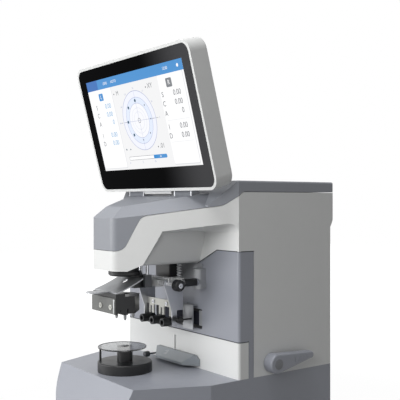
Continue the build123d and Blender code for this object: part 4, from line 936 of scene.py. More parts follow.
def slat_rows(columns: int, rows: int, pitch: Pair, size: Triple, material: str) -> bpy.types.Mesh:
    """Grid of flat slats on the local plane.

    Args:
        columns: slats along x.
        rows: slats along y.
        pitch: distance between columns and between rows.
        size: length, width and thickness of a slat.
        material: name of the finish.

    Returns:
        One mesh with every slat.
    """
    sizes = {"Columns": columns, "Rows": rows, "Pitch X": pitch[0], "Pitch Y": pitch[1]}
    sizes.update({"Long": size[0], "Wide": size[1], "Deep": size[2]})
    tree = Pattern("slat_rows", sizes)
    width, tall = (
        tree.sum(tree.sum(tree.size(count), 1.0, "SUBTRACT"), tree.size(step), "MULTIPLY")
        for count, step in (("Columns", "Pitch X"), ("Rows", "Pitch Y"))
    )
    slat = tree.block(tree.size("Long"), tree.size("Wide"), tree.size("Deep"))
    return tree.bake(tree.spread(tree.grid(width, tall), slat), finish(material))


def chip_field(columns: int, rows: int, pitch: Pair, height: float, seed: int) -> bpy.types.Mesh:
    """Board components of uneven size on a grid.

    Args:
        columns: components along x.
        rows: components along y.
        pitch: distance between columns and between rows.
        height: height of the tallest.
        seed: seed of the random sizes.

    Returns:
        One mesh with every component.
    """
    sizes = {
        "Columns": columns,
        "Rows": rows,
        "Width": pitch[0] * (columns - 1),
        "Height": pitch[1] * (rows - 1),
        "Tall": height,
        "Seed": seed,
    }
    tree = Pattern("chip_field", sizes)
    grid = tree.grid(tree.size("Width"), tree.size("Height"))
    chip = tree.raised(tree.block(CHIP_LENGTH, CHIP_WIDTH, tree.size("Tall")), "Tall")
    scale = tree.node(
        "FunctionNodeRandomValue",
        {"Min": (0.3, 0.3, 0.3), "Max": (1.0, 1.0, 1.0), "Seed": tree.size("Seed")},
        {"data_type": "FLOAT_VECTOR"},
    )
    return tree.bake(tree.spread(grid, chip, Scale=scale), finish("black_plastic"))


@dataclass
class BaseUnit:
    """Base: shell, skirt, plate, feet and the button, with the screws under it."""

    plate_low: float = 5 * MM
    screw_pitch_x: float = 120 * MM
    screw_pitch_y: float = 120 * MM
    screw_radius: float = 3.2 * MM
    screw_height: float = 1.2 * MM
    button_front: float = -122 * MM
    button_z: float = 46 * MM
    button_ring: float = 6.6 * MM
    ring_width: float = 0.8 * MM
    ring_sunk: float = 0.05 * MM
    ring_proud: float = 0.12 * MM

    def build(self) -> None:
        """Dress the base and add its screws and the ring in the button."""
        dress("blue_grey_plastic", "base_shell")
        dress("dark_plastic", "base_skirt")
        dress("zinc_sheet", "base_plate")
        dress("foot_rubber", "rubber_feet")
        dress("grey_plastic", "measure_button")
        under = place_at((0, 0, self.plate_low), (1, 0, 0), (0, -1, 0))
        pitches = (self.screw_pitch_x, self.screw_pitch_y)
        heads = screw_heads(2, 2, *pitches, self.screw_radius, self.screw_height)
        Piece("plate_screws", "chassis", "bright_steel").settle(heads, under)
        ring = Form().band(self.button_ring, self.ring_width, -self.ring_sunk, self.ring_proud).mesh()
        front = place_at((0, self.button_front + self.ring_proud, self.button_z))
        Piece("button_ring", "measure_button", "cap_plastic", "white_plastic").settle(ring, front)


@dataclass
class Housing:
    """Column, head cover, front panels and the service cover with its screws."""

    cover_rear: float = 117.5 * MM
    cover_middle_z: float = 184 * MM
    cover_screw_x: float = 112 * MM
    cover_screw_z: float = 92 * MM
    screw_radius: float = 2.6 * MM
    screw_height: float = 1.1 * MM
    half: float = 100 * MM
    front: float = -7 * MM
    corner: float = 3 * MM
    seam_width: float = 0.9 * MM
    seam_proud: float = 0.06 * MM
    seam_high_z: float = 229 * MM
    seam_waist_z: float = 212 * MM
    seam_low_z: float = 143 * MM
    shoulder_x: float = 66 * MM
    waist_x: float = 30 * MM
    seam_high_rear: float = 11.6 * MM
    seam_low_rear: float = 5.4 * MM
    corner_steps: int = 6

    def build(self) -> None:
        """Dress the panels, then add the screws of the service cover and the panel seams."""
        dress("housing_plastic", "main_housing", "lower_panel", "head_core")
        # The top cover gets the blue-grey with painted shade in its tone.
        dress("cover_painted_shade", "top_cover")
        dress("blue_grey_plastic", "service_cover", "front_insert")
        dress("zinc_sheet", "spine")
        pitches = (self.cover_screw_x, self.cover_screw_z)
        heads = screw_heads(2, 2, *pitches, self.screw_radius, self.screw_height)
        behind = place_at((0, self.cover_rear, self.cover_middle_z), (-1, 0, 0))
        Piece("cover_screws", "chassis", "bright_steel").settle(heads, behind)
        self.seams()

    def seams(self) -> None:
        """Dark joint round the insert, on the front and round both corners."""
        level = Form()
        for side in (-1, 1):
            for start, rear, z in (
                (self.shoulder_x, self.seam_high_rear, self.seam_high_z),
                (0.0, self.seam_low_rear, self.seam_low_z),
            ):
                outline = self.wrap(side, start, rear, self.seam_proud)
                outline += self.wrap(side, start, rear, -self.seam_proud)[::-1]
                level.prism(outline, z - self.seam_width / 2, z + self.seam_width / 2)
        ground = place_at((0, 0, 0), (1, 0, 0), (0, 1, 0))
        Piece("seam_level", "chassis", "seam_dark", "black_plastic").settle(level.mesh(), ground)
        path = [(self.shoulder_x, self.seam_high_z), (self.waist_x, self.seam_waist_z)]
        path += [(-x, z) for x, z in path[::-1]]
        outline = [(x, z + self.seam_width / 2) for x, z in path]
        outline += [(x, z - self.seam_width / 2) for x, z in path[::-1]]
        arch = Form().prism(outline, -self.seam_proud, self.seam_proud).mesh()
        Piece("seam_arch", "chassis", "seam_dark", "black_plastic").settle(arch, place_at((0, self.front, 0)))

    def wrap(self, side: int, start: float, rear: float, out: float) -> list[Pair]:
        """Line in plan from the front round one corner to the rear.

        Args:
            side: 1 for the right corner, -1 for the left.
            start: distance from the middle where it starts.
            rear: depth where it ends.
            out: how far it is moved outwards.

        Returns:
            Its points in order.
        """
        points = [(side * start, self.front - out)]
        for step in range(self.corner_steps + 1):
            angle = math.pi / 2 * (step / self.corner_steps - 1)
            x = self.half - self.corner + (self.corner + out) * math.cos(angle)
            y = self.front + self.corner + (self.corner + out) * math.sin(angle)
            points.append((side * x, y))
        return points + [(side * (self.half + out), rear)]


@dataclass
class NoseStage:
    """Nose on which a lens rests, with the ring that light comes out of above it."""

    axis_y: float = -72 * MM
    plate_y: float = -75 * MM
    plate_top: float = 132.5 * MM
    plate_radius: float = 24 * MM
    rim_width: float = 0.9 * MM
    rim_height: float = 0.25 * MM
    lens_ring_z: float = 203 * MM
    step_radii: Pair = (8.6 * MM, 12.2 * MM)
    step_width: float = 0.7 * MM
    step_sunk: float = 0.2 * MM
    step_proud: float = 0.3 * MM

    def build(self) -> None:
        """Dress the nose and add its rim and the steps of the lamp window."""
        dress("black_plastic", "nose_disc", "nose_post", "aperture_ring")
        dress("black_plastic", "receiver_barrel", "emitter_barrel")
        dress("optical_glass", "collimator_lens")
        dress("stage_glass", "nose_plate")
        dress("board_green", "led_board", "sensor_board")
        dress("zinc_sheet", "optics_beam")
        flat = place_at((0, self.plate_y, self.plate_top), (1, 0, 0), (0, 1, 0))
        rim = Form().band(self.plate_radius - self.rim_width / 2, self.rim_width, 0, self.rim_height)
        Piece("nose_rim", "chassis", "dark_plastic", "black_plastic").settle(rim.mesh(), flat)
        below = place_at((0, self.axis_y, self.lens_ring_z), (1, 0, 0), (0, -1, 0))
        steps = Form()
        for radius in self.step_radii:
            steps.band(radius, self.step_width, -self.step_sunk, self.step_proud)
        Piece("aperture_steps", "chassis", "dark_plastic", "black_plastic").settle(steps.mesh(), below)


@dataclass
class LensHolder:
    """Holder that comes down on the lens: sheet arm, block, front plate and three tips."""

    plate_front: float = -96.8 * MM
    plate_middle_z: float = 176 * MM
    screw_x: float = 5.9 * MM
    screw_drop: float = 1.1 * MM
    screw_pitch: float = 19.4 * MM
    screw_radius: float = 2.6 * MM
    screw_height: float = 0.9 * MM
    # The sizes below place a white strip on the plate's right edge: a painted highlight where the plate bends
    # back.
    edge_x: float = 21.3 * MM
    edge_width: float = 1.8 * MM
    edge_height: float = 13.6 * MM
    edge_lift: float = 0.15 * MM
    edge_depth: float = 0.5 * MM
    edge_round: float = 0.1 * MM
    cap_middle: Triple = (0, -58.7 * MM, 196.2 * MM)
    cap_size: Triple = (10.3 * MM, 10.6 * MM, 12.8 * MM)
    cap_round: float = 0.2 * MM

    def build(self) -> None:
        """Dress the holder and add its screws and a white strip on the plate's right edge, which is a painted
        highlight of the plate's bend.
        """
        dress("holder_plastic", "holder_plate")
        dress("black_plastic", "holder_block")
        dress("grey_plastic", "holder_bracket")
        dress("cap_plastic", "holder_pins")
        dress("arm_sheet", "holder_arm")
        dress("bright_steel", "holder_rods")
        front = place_at((0, self.plate_front, self.plate_middle_z))
        heads = screw_heads(2, 1, self.screw_pitch, 0.0, self.screw_radius, self.screw_height)
        place = front @ Matrix.Translation((self.screw_x, -self.screw_drop, 0))
        Piece("holder_screws", "lens_holder", "comb_sheet", "bright_steel").settle(heads, place)
        # Painted highlight: a white strip on the plate's right edge.
        size = (self.edge_width, self.edge_height, self.edge_depth)
        highlight_strip = Form().box((self.edge_x, 0, self.edge_lift), size, self.edge_round)
        Piece("holder_edge_highlight", "lens_holder", "cap_plastic", "white_plastic").settle(highlight_strip.mesh(), front)
        cap = Form().box(self.cap_middle, self.cap_size, self.cap_round)
        Piece("bracket_cap", "lens_holder", "black_plastic").settle(cap.mesh())


@dataclass
class Marker:
    """Marker: carriage on its spring, swinging frame with three pens, knob and ink pad."""

    spring_x: float = 23.1 * MM
    spring_y: float = -22 * MM
    spring_low: float = 199.1 * MM
    spring_high: float = 214.9 * MM
    spring_turns: float = 6.0
    spring_radius: float = 2.2 * MM
    spring_wire: float = 0.48 * MM
    pivot_y: float = -38.5 * MM
    pivot_z: float = 194.4 * MM
    knob_outer_x: float = 49 * MM
    knob_radius: float = 5.5 * MM
    knob_middle_x: float = 45 * MM
    knob_length: float = 6 * MM
    knob_ribs: int = 30
    comb_front: float = -29 * MM
    comb_screw_z: float = 172 * MM
    comb_screw_x: Triple = (-13.4 * MM, 10.8 * MM, 22.4 * MM)
    pen_pitch: float = 19 * MM
    pen_x: float = 1 * MM
    pen_z: float = 155.2 * MM
    pen_front: float = -41 * MM
    pad_face: float = -5 * MM
    pad_z: float = 158 * MM
    pad_width: float = 76 * MM
    pad_height: float = 13 * MM
    sleeve_at: Triple = (45 * MM, -16 * MM, 196.5 * MM)
    sleeve_length: float = 16.4 * MM
    sleeve_radius: float = 3.56 * MM
    sleeve_wall: float = 0.4 * MM
    ring_radius: float = 3.95 * MM
    ring_wall: float = 0.5 * MM
    ring_low: float = 0.6 * MM
    ring_high: float = 2 * MM
    tube_steps: int = 48
    knob_rib_depth: float = 0.5 * MM
    knob_rib_width: float = 0.6 * MM
    knob_screw: Pair = (2.4 * MM, 0.8 * MM)
    comb_screw: Pair = (2.1 * MM, 0.9 * MM)
    side_screw: Pair = (1.7 * MM, 0.9 * MM)
    side_screw_drop: float = 4 * MM
    pen_rim: Pair = (3.4 * MM, 0.7 * MM)
    pen_rim_height: float = 0.2 * MM
    pen_steps: int = 36
    felt_depth: float = 0.8 * MM
    felt_round: float = 0.25 * MM
    felt_proud: float = 0.3 * MM
    pad_end_at: Triple = (38.5 * MM, -5.7 * MM, 158.7 * MM)
    pad_end_size: Triple = (5.8 * MM, 15.4 * MM, 0.9 * MM)
    pad_end_round: float = 0.3 * MM

    def build(self) -> None:
        """Dress the marker and add its small parts."""
        dress("housing_plastic", "marker_carriage")
        dress("black_plastic", "marker_guide", "pen_holders", "ink_pad")
        dress("black_plastic", "marker_knob", "pad_stopper")
        dress("sheet_steel", "side_arms")
        dress("boss_metal", "marker_boss")
        dress("comb_sheet", "comb_plate")
        dress("polished_sheet", "pad_bracket")
        # Bails and pivot rod get the wire finish with its painted highlight.
        dress("wire_painted_glint", "marker_bails", "pivot_rod")
        self.spring()
        self.sleeve()
        self.knob()
        self.pens()
        self.pad()

    def spring(self) -> None:
        """Coil that stretches between the head and the carriage."""
        height = self.spring_high - self.spring_low
        mesh = coil(self.spring_turns, self.spring_radius, height, self.spring_wire)
        mesh.name = "marker_coil"
        mesh.transform(Matrix.Translation((self.spring_x, self.spring_y, self.spring_low)))
        piece = bpy.data.objects.new("marker_coil", mesh)
        bpy.context.scene.collection.objects.link(piece)
        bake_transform(piece)
        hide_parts("marker_spring")
        LOG.info("marker_coil between the head and the carriage: %d faces", len(mesh.polygons))

    def sleeve(self) -> None:
        """Black sleeve on the stop shaft, with a bright ring at its root."""
        place = place_at(self.sleeve_at)
        sleeve = Form().band(
            self.sleeve_radius, self.sleeve_wall, 0, self.sleeve_length, steps=self.tube_steps
        )
        Piece("stop_sleeve", "chassis", "black_plastic").settle(sleeve.mesh(), place)
        ring = Form().band(
            self.ring_radius, self.ring_wall, self.ring_low, self.ring_high, steps=self.tube_steps
        )
        Piece("stop_ring", "chassis", "bright_steel").settle(ring.mesh(), place)

    def knob(self) -> None:
        """Ribs round the knob and the screw in its end."""
        side = place_at((self.knob_middle_x, self.pivot_y, self.pivot_z), (0, 1, 0), (0, 0, 1))
        size = (self.knob_rib_depth, self.knob_rib_width, self.knob_length)
        ribs = rib_ring(self.knob_ribs, self.knob_radius, size, "black_plastic")
        Piece("knob_ribs", "marker_frame", "black_plastic").settle(ribs, side)
        end = place_at((self.knob_outer_x, self.pivot_y, self.pivot_z), (0, 1, 0), (0, 0, 1))
        screw = screw_heads(1, 1, 0.0, 0.0, *self.knob_screw)
        Piece("knob_screw", "marker_frame", "bright_steel").settle(screw, end)

    def pens(self) -> None:
        """Screws that hold the pens in the comb, and a light rim in each pen."""
        left, middle, right = self.comb_screw_x
        comb = place_at(((left + middle) / 2, self.comb_front, self.comb_screw_z))
        heads = screw_heads(2, 1, middle - left, 0.0, *self.comb_screw)
        Piece("comb_screws", "marker_frame", "bright_steel").settle(heads, comb)
        comb = place_at((right, self.comb_front, self.comb_screw_z - self.side_screw_drop))
        head = screw_heads(1, 1, 0.0, 0.0, *self.side_screw)
        Piece("comb_side_screw", "marker_frame", "bright_steel").settle(head, comb)
        rims = Form()
        for number in (-1, 0, 1):
            middle = (number * self.pen_pitch, 0)
            rims.band(*self.pen_rim, 0, self.pen_rim_height, middle, self.pen_steps)
        front = place_at((self.pen_x, self.pen_front, self.pen_z))
        Piece("pen_rims", "marker_frame", "dark_plastic", "black_plastic").settle(rims.mesh(), front)

    def pad(self) -> None:
        """Felt in the ink tray and the milky end of the tray."""
        size = (self.pad_width, self.pad_height, self.felt_depth)
        felt = Form().box((0, 0, 0), size, self.felt_round)
        face = place_at((0, self.pad_face - self.felt_proud, self.pad_z))
        Piece("ink_felt", "chassis", "ink_felt", "black_plastic").settle(felt.mesh(), face)
        end = Form().box((0, 0, 0), self.pad_end_size, self.pad_end_round).mesh()
        Piece("pad_end", "chassis", "milky_plastic", "grey_plastic").settle(end, place_at(self.pad_end_at))


@dataclass
class LensTable:
    """Bar that squares the spectacles up, with its rods and a small knurled screw."""

    screw_at: Triple = (-37 * MM, -9 * MM, 112 * MM)
    rod_radius: float = 0.9 * MM
    rod_length: float = 11 * MM
    knob_radius: float = 2.8 * MM
    knob_length: float = 6 * MM
    knob_ribs: int = 18
    knob_round: float = 0.5 * MM
    rib_depth: float = 0.4 * MM
    rib_width: float = 0.5 * MM
    rib_short: float = 1.6 * MM

    def build(self) -> None:
        """Dress the table and its slide, and add the screw with its ribs."""
        dress("smoked_plastic", "table_bar")
        dress("bright_steel", "table_slide")
        dress("zinc_sheet", "slide_bearings")
        place = place_at(self.screw_at)
        screw = Form().disc(self.rod_radius, 0, self.rod_length)
        top = self.rod_length + self.knob_length
        screw.disc(self.knob_radius, self.rod_length, top, self.knob_round)
        Piece("table_screw", "lens_table", "dark_plastic", "grey_plastic").settle(screw.mesh(), place)
        size = (self.rib_depth, self.rib_width, self.knob_length - self.rib_short)
        ribs = rib_ring(self.knob_ribs, self.knob_radius, size, "dark_plastic")
        place = place @ Matrix.Translation((0, 0, self.rod_length + self.knob_length / 2))
        Piece("table_screw_ribs", "lens_table", "dark_plastic", "grey_plastic").settle(ribs, place)


@dataclass
class Lever:
    """Side lever that moves the lens table."""

    outer_x: float = 112 * MM
    hub_y: float = 33 * MM
    hub_z: float = 120 * MM
    cap_radius: float = 5 * MM
    rib_first_y: float = 55 * MM
    rib_pitch: float = 4 * MM
    rib_count: int = 5
    rib_size: Triple = (1.2 * MM, 5 * MM, 0.7 * MM)
    rib_lift: float = 0.05 * MM
    cap_sunk: float = 0.2 * MM
    cap_proud: float = 0.45 * MM
    slope: float = math.atan2(4, 44)

    def build(self) -> None:
        """Dress the lever and add its cap and its grip ribs."""
        dress("blue_grey_plastic", "side_lever")
        dress("bright_steel", "lever_shaft")
        dress("black_plastic", "lever_bush")
        side = place_at((self.outer_x, self.hub_y, self.hub_z), (0, 1, 0), (0, 0, 1))
        cap = Form().disc(self.cap_radius, -self.cap_sunk, self.cap_proud, self.cap_sunk)
        Piece("lever_cap", "table_lever", "grey_plastic").settle(cap.mesh(), side)
        grip = Matrix.Rotation(self.slope, 4, "Z")
        shift = (self.rib_count - 1) * self.rib_pitch / 2 + self.rib_first_y - self.hub_y
        ribs = slat_rows(self.rib_count, 1, (self.rib_pitch, 0.0), self.rib_size, "blue_grey_plastic")
        place = side @ grip @ Matrix.Translation((shift, 0, self.rib_lift))
        Piece("lever_ribs", "table_lever", "blue_grey_plastic").settle(ribs, place)


@dataclass
class Monitor:
    """Tilting display: shell, dark glass and the lit picture."""

    hinge: Triple = (0, -27 * MM, 301 * MM)
    lean: float = math.radians(14.6)
    glass_front: float = 12.95 * MM
    back: float = -7 * MM
    screen_x: float = 0.8 * MM
    screen_y: float = 62.7 * MM
    screen_width: float = 182 * MM
    screen_height: float = 99 * MM
    layer: float = 0.012 * MM
    header_height: float = 10.4
    column_low: float = 2.6
    column_round: float = 1.6
    slider_low: float = -40
    slider_high: float = -36.1
    ring_radii: Triple = (30.3, 23.7, 17.7)
    ring_widths: Triple = (0.55, 0.4, 0.4)
    faint_radii: Pair = (9, 13)
    faint_width: float = 0.35
    line_half: float = 0.16
    scale_radius: float = 34.5
    scale_step: int = 30
    value_size: float = 7.4
    letter_size: float = 7.2
    vent_rows: int = 9
    vent_pitch: float = 5 * MM
    vent_size: Triple = (70 * MM, 1.8 * MM, 0.5 * MM)
    vent_up: float = 88 * MM
    screw_pitch: Pair = (180 * MM, 92 * MM)
    screw_size: Pair = (2.8 * MM, 0.9 * MM)
    screw_up: float = 66 * MM

    def face(self, lift: float, middle_x: float = 0.0, middle_y: float = 0.0) -> Matrix:
        """Plane of the display.

        Args:
            lift: distance in front of the hinge line.
            middle_x: shift of its middle to the right.
            middle_y: shift of its middle upwards.

        Returns:
            The matrix from the plane to the frame.
        """
        up = (0, -math.sin(self.lean), math.cos(self.lean))
        flat = place_at(self.hinge, (1, 0, 0), up)
        return flat @ Matrix.Translation((middle_x, middle_y, lift))

    def build(self) -> None:
        """Dress the display and add its picture, its vents and its screws."""
        dress("housing_plastic", "monitor_back", "monitor_bezel")
        # The hinge stands get the blue-grey with painted shade in its tone.
        dress("stand_painted_shade", "hinge_stands")
        dress("sheet_steel", "hinge_side_plates")
        dress("cap_plastic", "hinge_shafts")
        dress("screen_glass", "cover_glass")
        dress("dark_plastic", "lcd_panel")
        self.picture()
        self.rear()

    def show(self, name: str, finish_name: str, form: Form, level: int) -> None:
        """Lay one part of the picture over the glass, level steps up."""
        self.lay(name, finish_name, form.mesh(), level)

    def lay(self, name: str, finish_name: str, mesh: bpy.types.Mesh, level: int) -> None:
        """Settle a mesh over the glass, level steps up."""
        place = self.face(self.glass_front + level * self.layer, self.screen_x, self.screen_y)
        Piece(name, "monitor", finish_name, "display").settle(mesh, place)

    def tiles(self, rows: Sequence[tuple[float, float, float, float]]) -> Form:
        """Flat tiles.

        Args:
            rows: left, right, bottom and top of each, in mm from the middle of the picture.

        Returns:
            One form with every tile.
        """
        form = Form()
        for left, right, low, high in rows:
            middle = ((left + right) / 2 * MM, (low + high) / 2 * MM, self.layer / 2)
            form.box(middle, ((right - left) * MM, (high - low) * MM, self.layer))
        return form

    def card(self, form: Form, box: tuple[float, float, float, float], radius: float) -> Form:
        """Add a rounded tile.

        Args:
            form: the form that it joins.
            box: its left, right, bottom and top in mm.
            radius: radius of its corners in mm.

        Returns:
            The form.
        """
        left, right, low, high = (part * MM for part in box)
        middle = ((left + right) / 2, (low + high) / 2)
        return form.prism(rounded_outline(right - left, high - low, radius * MM, middle), 0, self.layer)

    def picture(self) -> None:
        """The measuring picture: header, side columns with values, and the round target."""
        half_w = self.screen_width / MM / 2
        half_h = self.screen_height / MM / 2
        header = half_h - self.header_height
        low = self.column_low - half_h
        self.show("screen_ground", "screen_grey", self.tiles([(-half_w, half_w, -half_h, half_h)]), 0)
        shade = Form()
        columns = Form()
        for left, right in ((0.6 - half_w, -42.6), (46.5, half_w - 3.4)):
            self.card(shade, (left - 0.1, right + 0.9, low - 0.9, header), self.column_round)
            self.card(columns, (left, right, low, header), self.column_round)
        self.show("screen_shade", "screen_shade", shade, 1)
        self.show("screen_columns", "screen_white", columns, 2)
        sides = ((-half_w, 0.6 - half_w), (half_w - 2.3, half_w))
        edges = [(left, right, -half_h, header) for left, right in sides]
        self.show("screen_edges", "screen_white", self.tiles(edges), 1)
        self.show("screen_header", "screen_blue", self.tiles([(-half_w, half_w, header, half_h)]), 3)
        self.show("screen_corner", "screen_deep", self.tiles([(-half_w, -68, header, half_h)]), 4)
        self.lines()
        self.target()
        self.values()

    def lines(self) -> None:
        """Letter tiles, the faint rules of the right column, and the scale below the target."""
        rules = [(49, 85, y - 0.15, y + 0.15) for y in (-4.6, -25.6)]
        self.show("screen_rules", "screen_shade", self.tiles(rules), 3)
        low, high = self.slider_low, self.slider_high
        self.show("screen_slider_rim", "screen_mid", self.card(Form(), (-34.7, 36, low, high), 1.6), 1)
        self.show("screen_slider", "screen_white", self.card(Form(), (-34.3, 35.6, -39.6, -36.5), 1.2), 2)
        fill = self.card(Form(), (12.2, 36, low, high), 1.6)
        self.card(fill, (12.2, 20, low, high), 0.2)
        self.show("screen_fill", "screen_blue", fill, 3)
        knob = Form().disc(0.8 * MM, 0, self.layer, middle=(24.8 * MM, -38.1 * MM))
        self.show("screen_slider_dot", "screen_white", knob, 5)
        self.show("screen_left_tile", "screen_blue", self.card(Form(), (-70, -61, 27, 34.8), 1.1), 3)
        self.show("screen_right_tile", "screen_mid", self.card(Form(), (59.2, 68.8, 26.4, 35), 1.1), 3)

    def target(self) -> None:
        """Round target with its cross, rings and dots."""
        tones = ("screen_milk", "screen_halo", "screen_core")
        for number, (radius, tone) in enumerate(zip(self.ring_radii, tones)):
            disc = Form().disc(radius * MM, 0, self.layer)
            self.show(f"screen_disc_{number}", tone, disc, number + 1)
        rings = Form()
        for radius, width in zip(self.ring_radii, self.ring_widths):
            rings.band(radius * MM, width * MM, 0, self.layer, steps=96)
        self.show("screen_rings", "screen_line", rings, 5)
        faint = Form()
        for radius in self.faint_radii:
            faint.band(radius * MM, self.faint_width * MM, 0, self.layer, steps=96)
        self.show("screen_inner_rings", "screen_faint", faint, 4)
        thin = self.line_half
        cross = self.tiles([(-30, 30, -thin, thin), (-thin, thin, -30, 30)])
        self.show("screen_cross", "screen_line", cross, 4)
        spans = ((-34.8, -32.2), (-29, -24), (24, 28), (31, 34.6))
        dashes = self.tiles([(left, right, -0.22, 0.22) for left, right in spans])
        self.show("screen_dashes", "screen_mid", dashes, 6)
        eye = Form().band(2.3 * MM, 0.55 * MM, 0, self.layer, steps=48)
        self.show("screen_eye", "screen_mid", eye, 6)
        dots = Form()
        for x, y in ((-0.5, 20.4), (-15.6, 14.4), (-21.6, 0), (-15.5, -13.9)):
            dots.disc(1.6 * MM, 0, self.layer, middle=(x * MM, y * MM))
        dots.disc(1.0 * MM, 0, self.layer, middle=(-36.6 * MM, -28.2 * MM))
        dots.disc(0.8 * MM, 0, self.layer, middle=(-28.6 * MM, -28.5 * MM))
        self.show("screen_dots", "screen_dot", dots, 6)
        small = Form()
        for x, y in ((14.8, 14.3), (21.2, 0), (15.1, -13.9), (0, -20), (23.6, 31.2), (24, -28.4), (-38, 31)):
            small.disc(0.8 * MM, 0, self.layer, middle=(x * MM, y * MM))
        self.show("screen_small_dots", "screen_ink", small, 6)

    def label(self, name: str, finish_name: str, rows: Sequence[tuple[str, float, float, float]]) -> None:
        """Generic letters and numbers, each with its middle and size in mm."""
        lines = [(text, (x * MM, y * MM), size * MM) for text, x, y, size in rows]
        self.lay(name, finish_name, text_mesh(lines, 0, self.layer), 6)

    def values(self) -> None:
        """Letters and numbers of the two side columns, of the target and of the scale."""
        heights = (20.3, 11.4, 2.1, -11, -19.7)
        size = self.letter_size
        letters = [(letter, side, y, size) for side in (-79, 50) for letter, y in zip("SCAID", heights)]
        self.label("screen_letters", "screen_ink", letters)
        small = [("XY", 31.2, 31.7, 7), (".01", 31.4, -27.8, 7), ("M", -31.2, 31.2, 6.4)]
        self.label("screen_marks", "screen_mid", small)
        scale = [(text, x, -42.7, 3.2) for text, x in (("0", -34.9), ("5", -9.8), ("10", 13.2))]
        for angle in range(0, 181, self.scale_step):
            turn = math.radians(angle)
            x, y = (self.scale_radius * part for part in (math.cos(turn), math.sin(turn)))
            scale.append((str(angle), x * (1.08 if angle in (0, 180) else 0.97), y * 0.95, 2.4))
        self.label("screen_scale", "screen_line", scale)
        size = self.value_size
        left = [("0.00", -55, y, size) for y in (20.3, 11.4, -10.8, -19.6)] + [("0", -50.5, 2.6, size)]
        self.label("screen_left_values", "screen_pale", left)
        right = [("0.00", 74, y, size) for y in (20.4, 11.7, -10.8, -19.7)] + [("0", 78, 3.1, size)]
        self.label("screen_right_values", "screen_ink", right)
        white = [("L", -65.5, 30.9, 6), ("R", 64, 30.7, 6.4)]
        white += [("LENS", -51.5, 44.2, 4), ("AUTO", -34, 44.2, 4), ("12:00", 62, 44.2, 4)]
        self.label("screen_head_marks", "screen_white", white)
        icon = Form().disc(1.6 * MM, 0, self.layer, middle=(82.8 * MM, 44.3 * MM))
        self.show("screen_icon", "screen_white", icon, 5)

    def rear(self) -> None:
        """Vents and screws in the back of the display."""
        back = self.face(self.back) @ Matrix.Rotation(math.pi, 4, "Y")
        slats = slat_rows(1, self.vent_rows, (0.0, self.vent_pitch), self.vent_size, "dark_plastic")
        place = back @ Matrix.Translation((0, self.vent_up, 0))
        Piece("monitor_vents", "monitor", "dark_plastic", "light_plastic").settle(slats, place)
        heads = screw_heads(2, 2, *self.screw_pitch, *self.screw_size)
        place = back @ Matrix.Translation((0, self.screw_up, 0))
        Piece("monitor_screws", "monitor", "bright_steel").settle(heads, place)


@dataclass
class Rear:
    """Connector panel with the mains inlet, the switch and a port."""

    panel_rear: float = 117.5 * MM
    middle_z: float = 46 * MM
    inlet_x: float = -28 * MM
    pin_pitch: float = 6.75 * MM
    pin_drop: float = 1.6 * MM
    pin_front: float = 115.2 * MM
    port_x: float = 30 * MM
    screw_pitch: Pair = (86 * MM, 24 * MM)
    screw_size: Pair = (1.9 * MM, 0.8 * MM)
    pin_size: Triple = (1.8 * MM, 3.4 * MM, 7 * MM)
    pin_middle: float = 3.6 * MM
    pin_round: float = 0.3 * MM
    tongue_size: Triple = (11 * MM, 1.6 * MM, 6 * MM)
    tongue_deep: float = 4 * MM
    tongue_round: float = 0.2 * MM

    def build(self) -> None:
        """Dress the panel and add its screws, the port's tongue and the inlet's pins."""
        dress("zinc_sheet", "rear_panel")
        dress("black_plastic", "power_inlet", "switch_housing")
        dress("rocker_gloss", "power_rocker")
        behind = place_at((0, self.panel_rear, self.middle_z), (-1, 0, 0))
        heads = screw_heads(2, 2, *self.screw_pitch, *self.screw_size)
        Piece("panel_screws", "chassis", "bright_steel").settle(heads, behind)
        tongue = Form().box((-self.port_x, 0, -self.tongue_deep), self.tongue_size, self.tongue_round)
        Piece("port_tongue", "chassis", "cap_plastic", "white_plastic").settle(tongue.mesh(), behind)
        sheaths = Form()
        for shift_x, shift_z in ((-1, -1), (0, 1), (1, -1)):
            x = -(self.inlet_x + shift_x * self.pin_pitch)
            middle = (x, shift_z * self.pin_drop, self.pin_front - self.pin_middle - self.panel_rear)
            sheaths.box(middle, self.pin_size, self.pin_round)
        Piece("inlet_pins", "chassis", "brass_pin", "bright_steel").settle(sheaths.mesh(), behind)


@dataclass
class Inside:
    """Boards and supply inside the column."""

    board_face: float = 53.4 * MM
    board_z: float = 195 * MM
    chip_pitch: Pair = (11 * MM, 12 * MM)
    chip_height: float = 2.6 * MM
    chip_seed: int = 7

    def build(self) -> None:
        """Dress the boards and add their components."""
        dress("board_green", "main_board")
        dress("zinc_sheet", "power_supply")
        front = place_at((0, self.board_face, self.board_z))
        chips = chip_field(8, 6, self.chip_pitch, self.chip_height, self.chip_seed)
        Piece("board_chips", "chassis", "black_plastic").settle(chips, front)


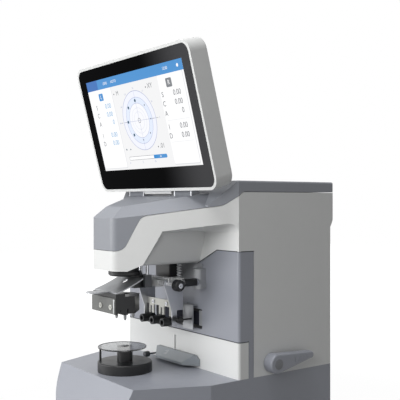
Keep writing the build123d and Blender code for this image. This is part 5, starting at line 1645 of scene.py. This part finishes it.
@dataclass
class Studio:
    """Pale floor, backdrop light and the camera."""

    floor_size: float = 6.0
    camera_at: Triple = (0.6385, -0.4511, 0.278)
    look: Triple = (-0.8039, 0.5948, 0.0)
    lens: float = 66.6
    sensor: float = 36
    near: float = 0.01
    aim: Triple = (0, 0, 0.2)
    glow: float = 1.19
    around: float = 0.13

    def build(self) -> None:
        """Add the floor, the lights, the world and the camera."""
        self.floor()
        self.world()
        self.lamp("key", (-0.4, -1.9, 0.7), 1.0, 16.0)
        self.lamp("left", (-0.9, -1.2, 0.28), 0.6, 5.5)
        self.lamp("fill", (0.5, -0.7, 0.55), 0.35, 1.7)
        self.lamp("top", (0.2, -0.6, 1.9), 0.9, 19.0)
        camera = bpy.data.cameras.new("camera")
        camera.lens = self.lens
        camera.sensor_width = self.sensor
        camera.clip_start = self.near
        holder = bpy.data.objects.new("camera", camera)
        holder.location = self.camera_at
        holder.rotation_euler = Vector(self.look).to_track_quat("-Z", "Y").to_euler()
        bpy.context.scene.collection.objects.link(holder)
        bpy.context.scene.camera = holder
        bpy.context.scene.view_settings.view_transform = "Standard"

    def floor(self) -> None:
        """Pale floor that the camera sees as white with the object's shadow on it."""
        mesh = bpy.data.meshes.new("floor")
        half = self.floor_size / 2
        corners = [(-half, -half, 0), (half, -half, 0), (half, half, 0), (-half, half, 0)]
        mesh.from_pydata(corners, [], [(0, 1, 2, 3)])
        graph = Graph("floor")
        seen = graph.ray("Camera") + graph.ray("Glossy")
        colour = graph.blend(graph.noise(0.6, 2), (0.29, 0.29, 0.29, 1.0), (0.32, 0.32, 0.32, 1.0))
        matt = graph.node("ShaderNodeBsdfDiffuse", {}, {"Color": colour})
        glow = graph.node("ShaderNodeEmission", {}, {"Color": WHITE, "Strength": self.glow})
        length = {"operation": "LENGTH"}
        reach = graph.node("ShaderNodeVectorMath", length, {0: graph.coords}, output="Value")
        share = seen * (reach.ramp(0.35, 1.2) * 0.2 + 0.8)
        mixed = graph.node("ShaderNodeMixShader", {}, {0: share, 1: matt, 2: glow})
        mesh.materials.append(graph.end(mixed))
        floor = bpy.data.objects.new("floor", mesh)
        bpy.context.scene.collection.objects.link(floor)

    def world(self) -> None:
        """White behind everything, and a soft even light from all round."""
        graph = Graph("studio", world=True)
        seen = graph.ray("Camera").larger(graph.ray("Transmission")).larger(graph.ray("Glossy"))
        plain, white = (
            graph.node("ShaderNodeBackground", {}, {"Color": WHITE, "Strength": strength})
            for strength in (self.around, 1.0)
        )
        mixed = graph.node("ShaderNodeMixShader", {}, {0: seen, 1: plain, 2: white})
        bpy.context.scene.world = graph.end(mixed, "World")

    def lamp(self, name: str, at: Triple, size: float, power: float) -> None:
        """Square lamp that points at the object.

        Args:
            name: its name.
            at: where it hangs.
            size: length of its sides.
            power: its power in watts.
        """
        light = bpy.data.lights.new(name, "AREA")
        light.size = size
        light.energy = power
        holder = bpy.data.objects.new(name, light)
        holder.location = at
        aim = Vector(self.aim) - Vector(at)
        holder.rotation_euler = aim.to_track_quat("-Z", "Y").to_euler()
        bpy.context.scene.collection.objects.link(holder)


def main() -> None:
    """Build every sub-assembly in order."""
    logging.basicConfig(level=logging.INFO, format="%(message)s")
    assemblies = (Studio, BaseUnit, Housing, NoseStage, LensHolder, Marker)
    assemblies += (LensTable, Lever, Monitor, Rear, Inside)
    for assembly in assemblies:
        assembly().build()


if __name__ == "__main__":
    main()
